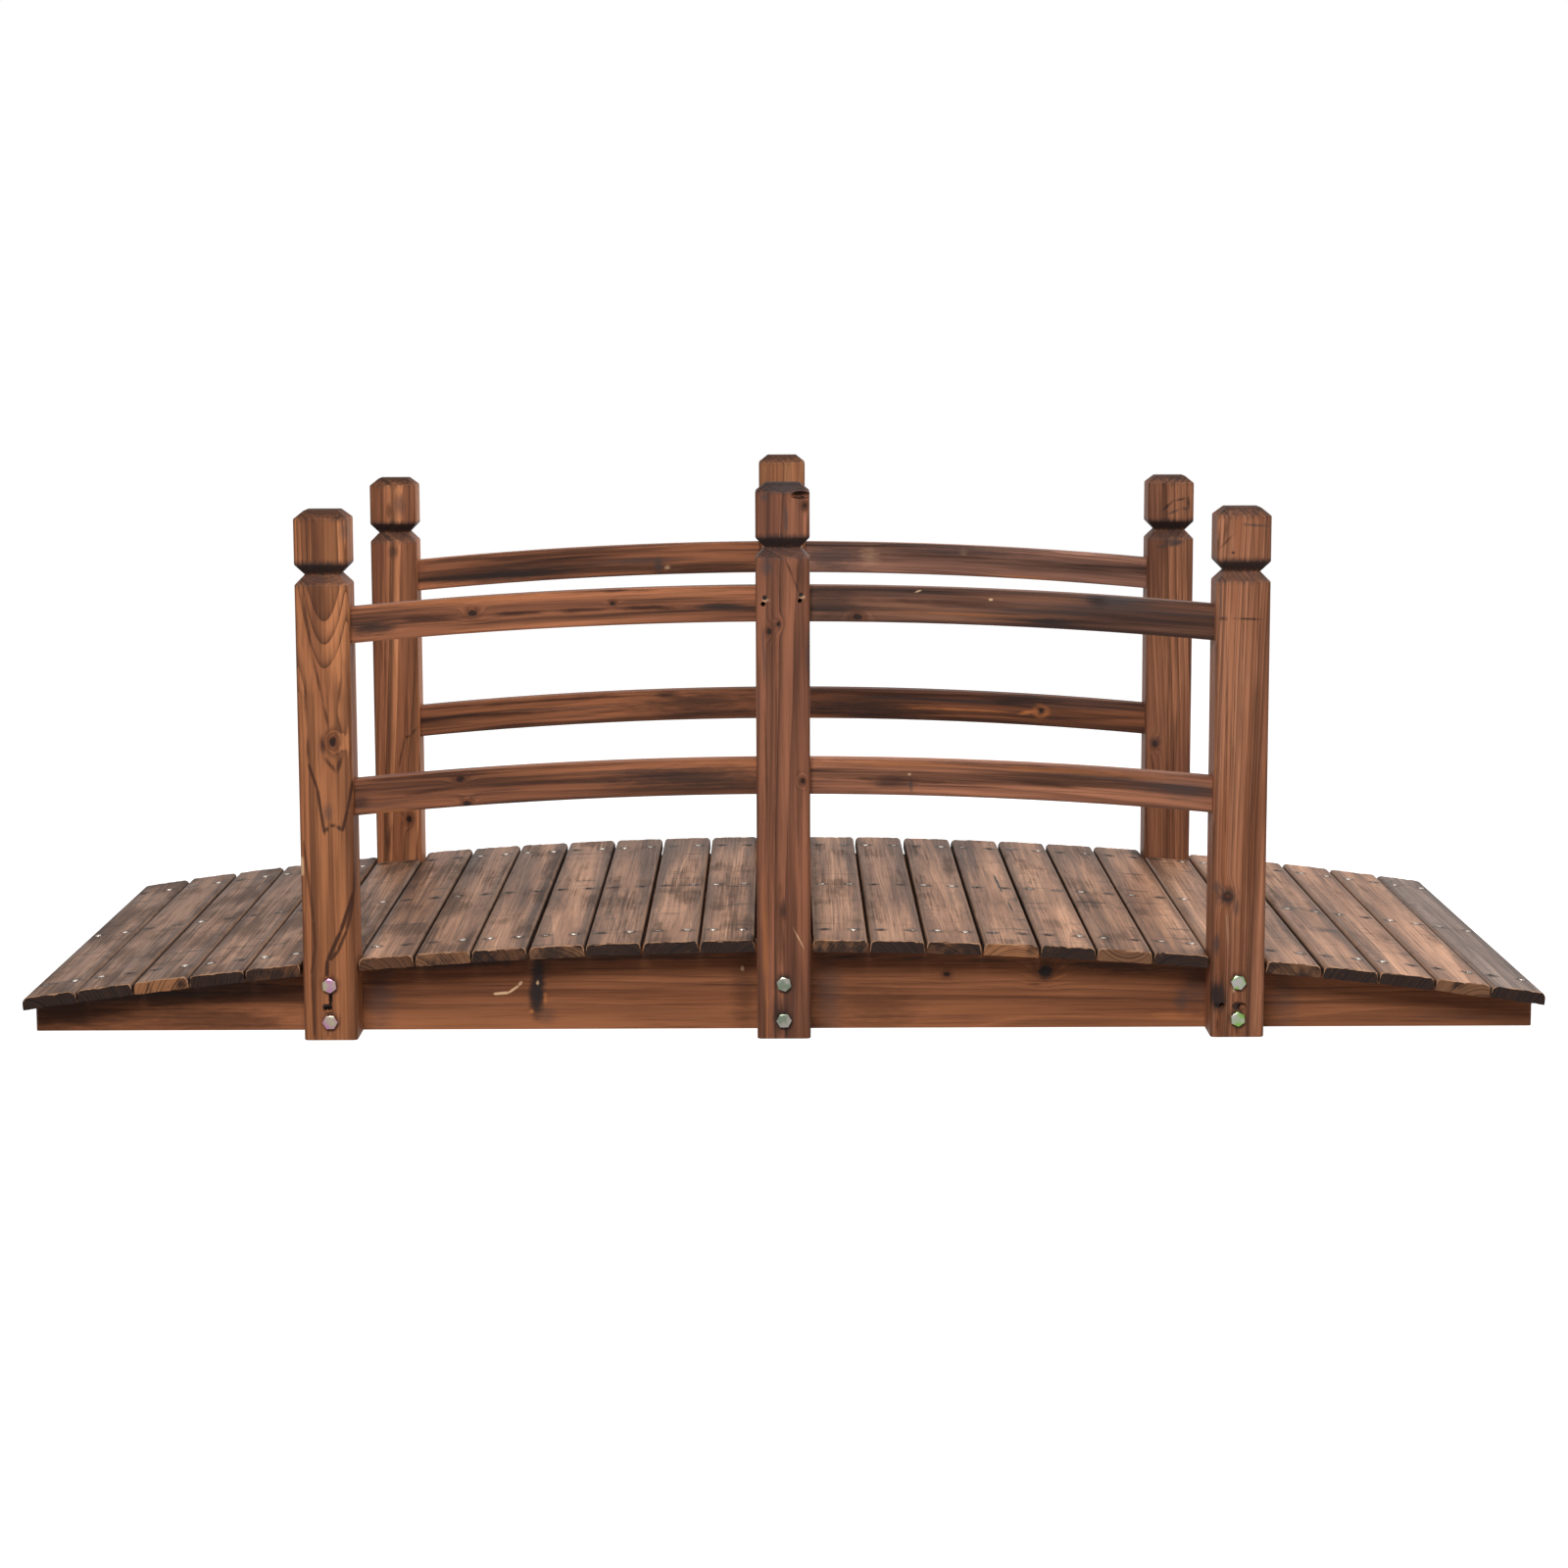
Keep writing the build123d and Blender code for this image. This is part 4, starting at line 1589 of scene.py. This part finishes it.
# Tone and burns along the deck, from the middle plank outwards; the tone rises to the right, partly the
# wood's own and partly painted light for the brighter right of the deck.
deck_tone = 1.47
deck_tone_and_light_slope = 0.02
deck_tone_bend = -0.0012
deck_tone_stray = 0.08
deck_scorch = 0.51
deck_scorch_slope = -0.007
plank_seats = []
for name, place in sorted(plank_places.items(), key=lambda row: row[1]):
    low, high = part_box(name)
    length = high.y - low.y - chance.uniform(*plank_trims)
    seat = plank_seat(place)
    plank_seats.append(seat)
    centre = seat @ Vector((0, 0, plank_thickness / 2))
    axes = board_axes(seat.to_3x3() @ Vector((0, 1, 0)), seat.to_3x3() @ Vector((0, 0, 1)))
    half = (length / 2, plank_width / 2, plank_thickness / 2)
    end_char, end_tone = plank_ends.get(place, (0.85, sawn_brown))
    tone = deck_tone + deck_tone_and_light_slope * place + deck_tone_bend * place**2 + stray(deck_tone_stray)
    tone *= plank_tones.get(place, 1.0)
    look = dict(
        plank_look,
        pale=shaded(plank_look["pale"], tone, plank_greys.get(place, 0.0)),
        brown=shaded(plank_look["brown"], tone, plank_greys.get(place, 0.0)),
        pith_side=0.0 if place == ringed_plank else stray(pith_stray),
        pith_depth=ringed_pith_depth if place == ringed_plank else chance.uniform(*pith_depths),
        scorch=deck_scorch + deck_scorch_slope * place,
        end_char=end_char,
        end_tone=end_tone,
    )
    board = (centre, axes, half, 0.0)
    finish = fir_finish(name, board, look, plank_seed + place, marks=marks_on(name, board), nailed=True)
    make_plank(name, seat, length, finish)

# Fasteners

lilac_zinc = zinc_finish("lilac_zinc", rgb(156, 112, 138), rgb(150, 140, 120))
grey_zinc = zinc_finish("grey_zinc", rgb(104, 112, 97), rgb(138, 134, 126))
green_zinc = zinc_finish("green_zinc", rgb(110, 146, 72), rgb(148, 146, 140))
bolt_finishes = {"left": lilac_zinc, "middle": grey_zinc, "right": green_zinc}
for post in post_looks:
    make_bolts(post, bolt_finishes[post.split("_")[1]])
nail_steel = nail_finish()
for name, row in zip(("front_nails", "middle_nails", "rear_nails"), nail_rows):
    make_nails(name, row, nail_steel)

# Studio

backdrop_strength = 1.0
backdrop_light = 0.11
floor_grey = 0.4
floor_glow = 0.96
floor_reach = 40
scene = bpy.context.scene
scene.view_settings.view_transform = "Standard"


def seen_by_eye(tree):
    """1 for rays that come from the camera or off something shiny, and 0 for the rest."""
    path = add_node(tree, "LightPath").outputs
    shiny = reckon(tree, "MAXIMUM", path["Is Glossy Ray"], path["Is Transmission Ray"])
    return reckon(tree, "MAXIMUM", path["Is Camera Ray"], shiny)


world = bpy.data.worlds.new("studio")
world.use_nodes = True
scene.world = world
backdrop = world.node_tree.nodes["Background"]
backdrop.inputs["Color"].default_value = (1, 1, 1, 1)
share = seen_by_eye(world.node_tree)
seen_extra = backdrop_strength - backdrop_light
strength = reckon(world.node_tree, "MULTIPLY_ADD", share, seen_extra, backdrop_light)
feed(world.node_tree, backdrop.inputs["Strength"], strength)

floor_finish = bpy.data.materials.new("studio_floor")
floor_finish.use_nodes = True
tree = floor_finish.node_tree
shader = tree.nodes["Principled BSDF"]
shader.inputs["Base Color"].default_value = (floor_grey, floor_grey, floor_grey, 1)
shader.inputs["Roughness"].default_value = 0.9
shader.inputs["Specular IOR Level"].default_value = 0.0
shader.inputs["Emission Color"].default_value = (1, 1, 1, 1)
feed(tree, shader.inputs["Emission Strength"], reckon(tree, "MULTIPLY", seen_by_eye(tree), floor_glow))

shape = bmesh.new()
bmesh.ops.create_grid(shape, x_segments=1, y_segments=1, size=floor_reach)
mesh = bpy.data.meshes.new("studio_floor")
shape.to_mesh(mesh)
shape.free()
mesh.materials.append(floor_finish)
floor = bpy.data.objects.new("studio_floor", mesh)
scene.collection.objects.link(floor)
floor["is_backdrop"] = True


def add_softbox(name, place, target, width, height, power):
    """A soft rectangular lamp that faces a point."""
    lamp = bpy.data.lights.new(name, "AREA")
    lamp.shape = "RECTANGLE"
    lamp.size = width
    lamp.size_y = height
    lamp.energy = power
    made = bpy.data.objects.new(name, lamp)
    made.location = place
    made.rotation_euler = (Vector(target) - Vector(place)).to_track_quat("-Z", "Y").to_euler()
    scene.collection.objects.link(made)


add_softbox("front_softbox", place=(-0.5, -3.2, 2.0), target=(0, 0, 0.25), width=1.5, height=0.9, power=102)
add_softbox("top_softbox", place=(1.5, 0.6, 2.5), target=(0, 0, 0), width=1.8, height=1.6, power=62)

# Sizes

low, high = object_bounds()
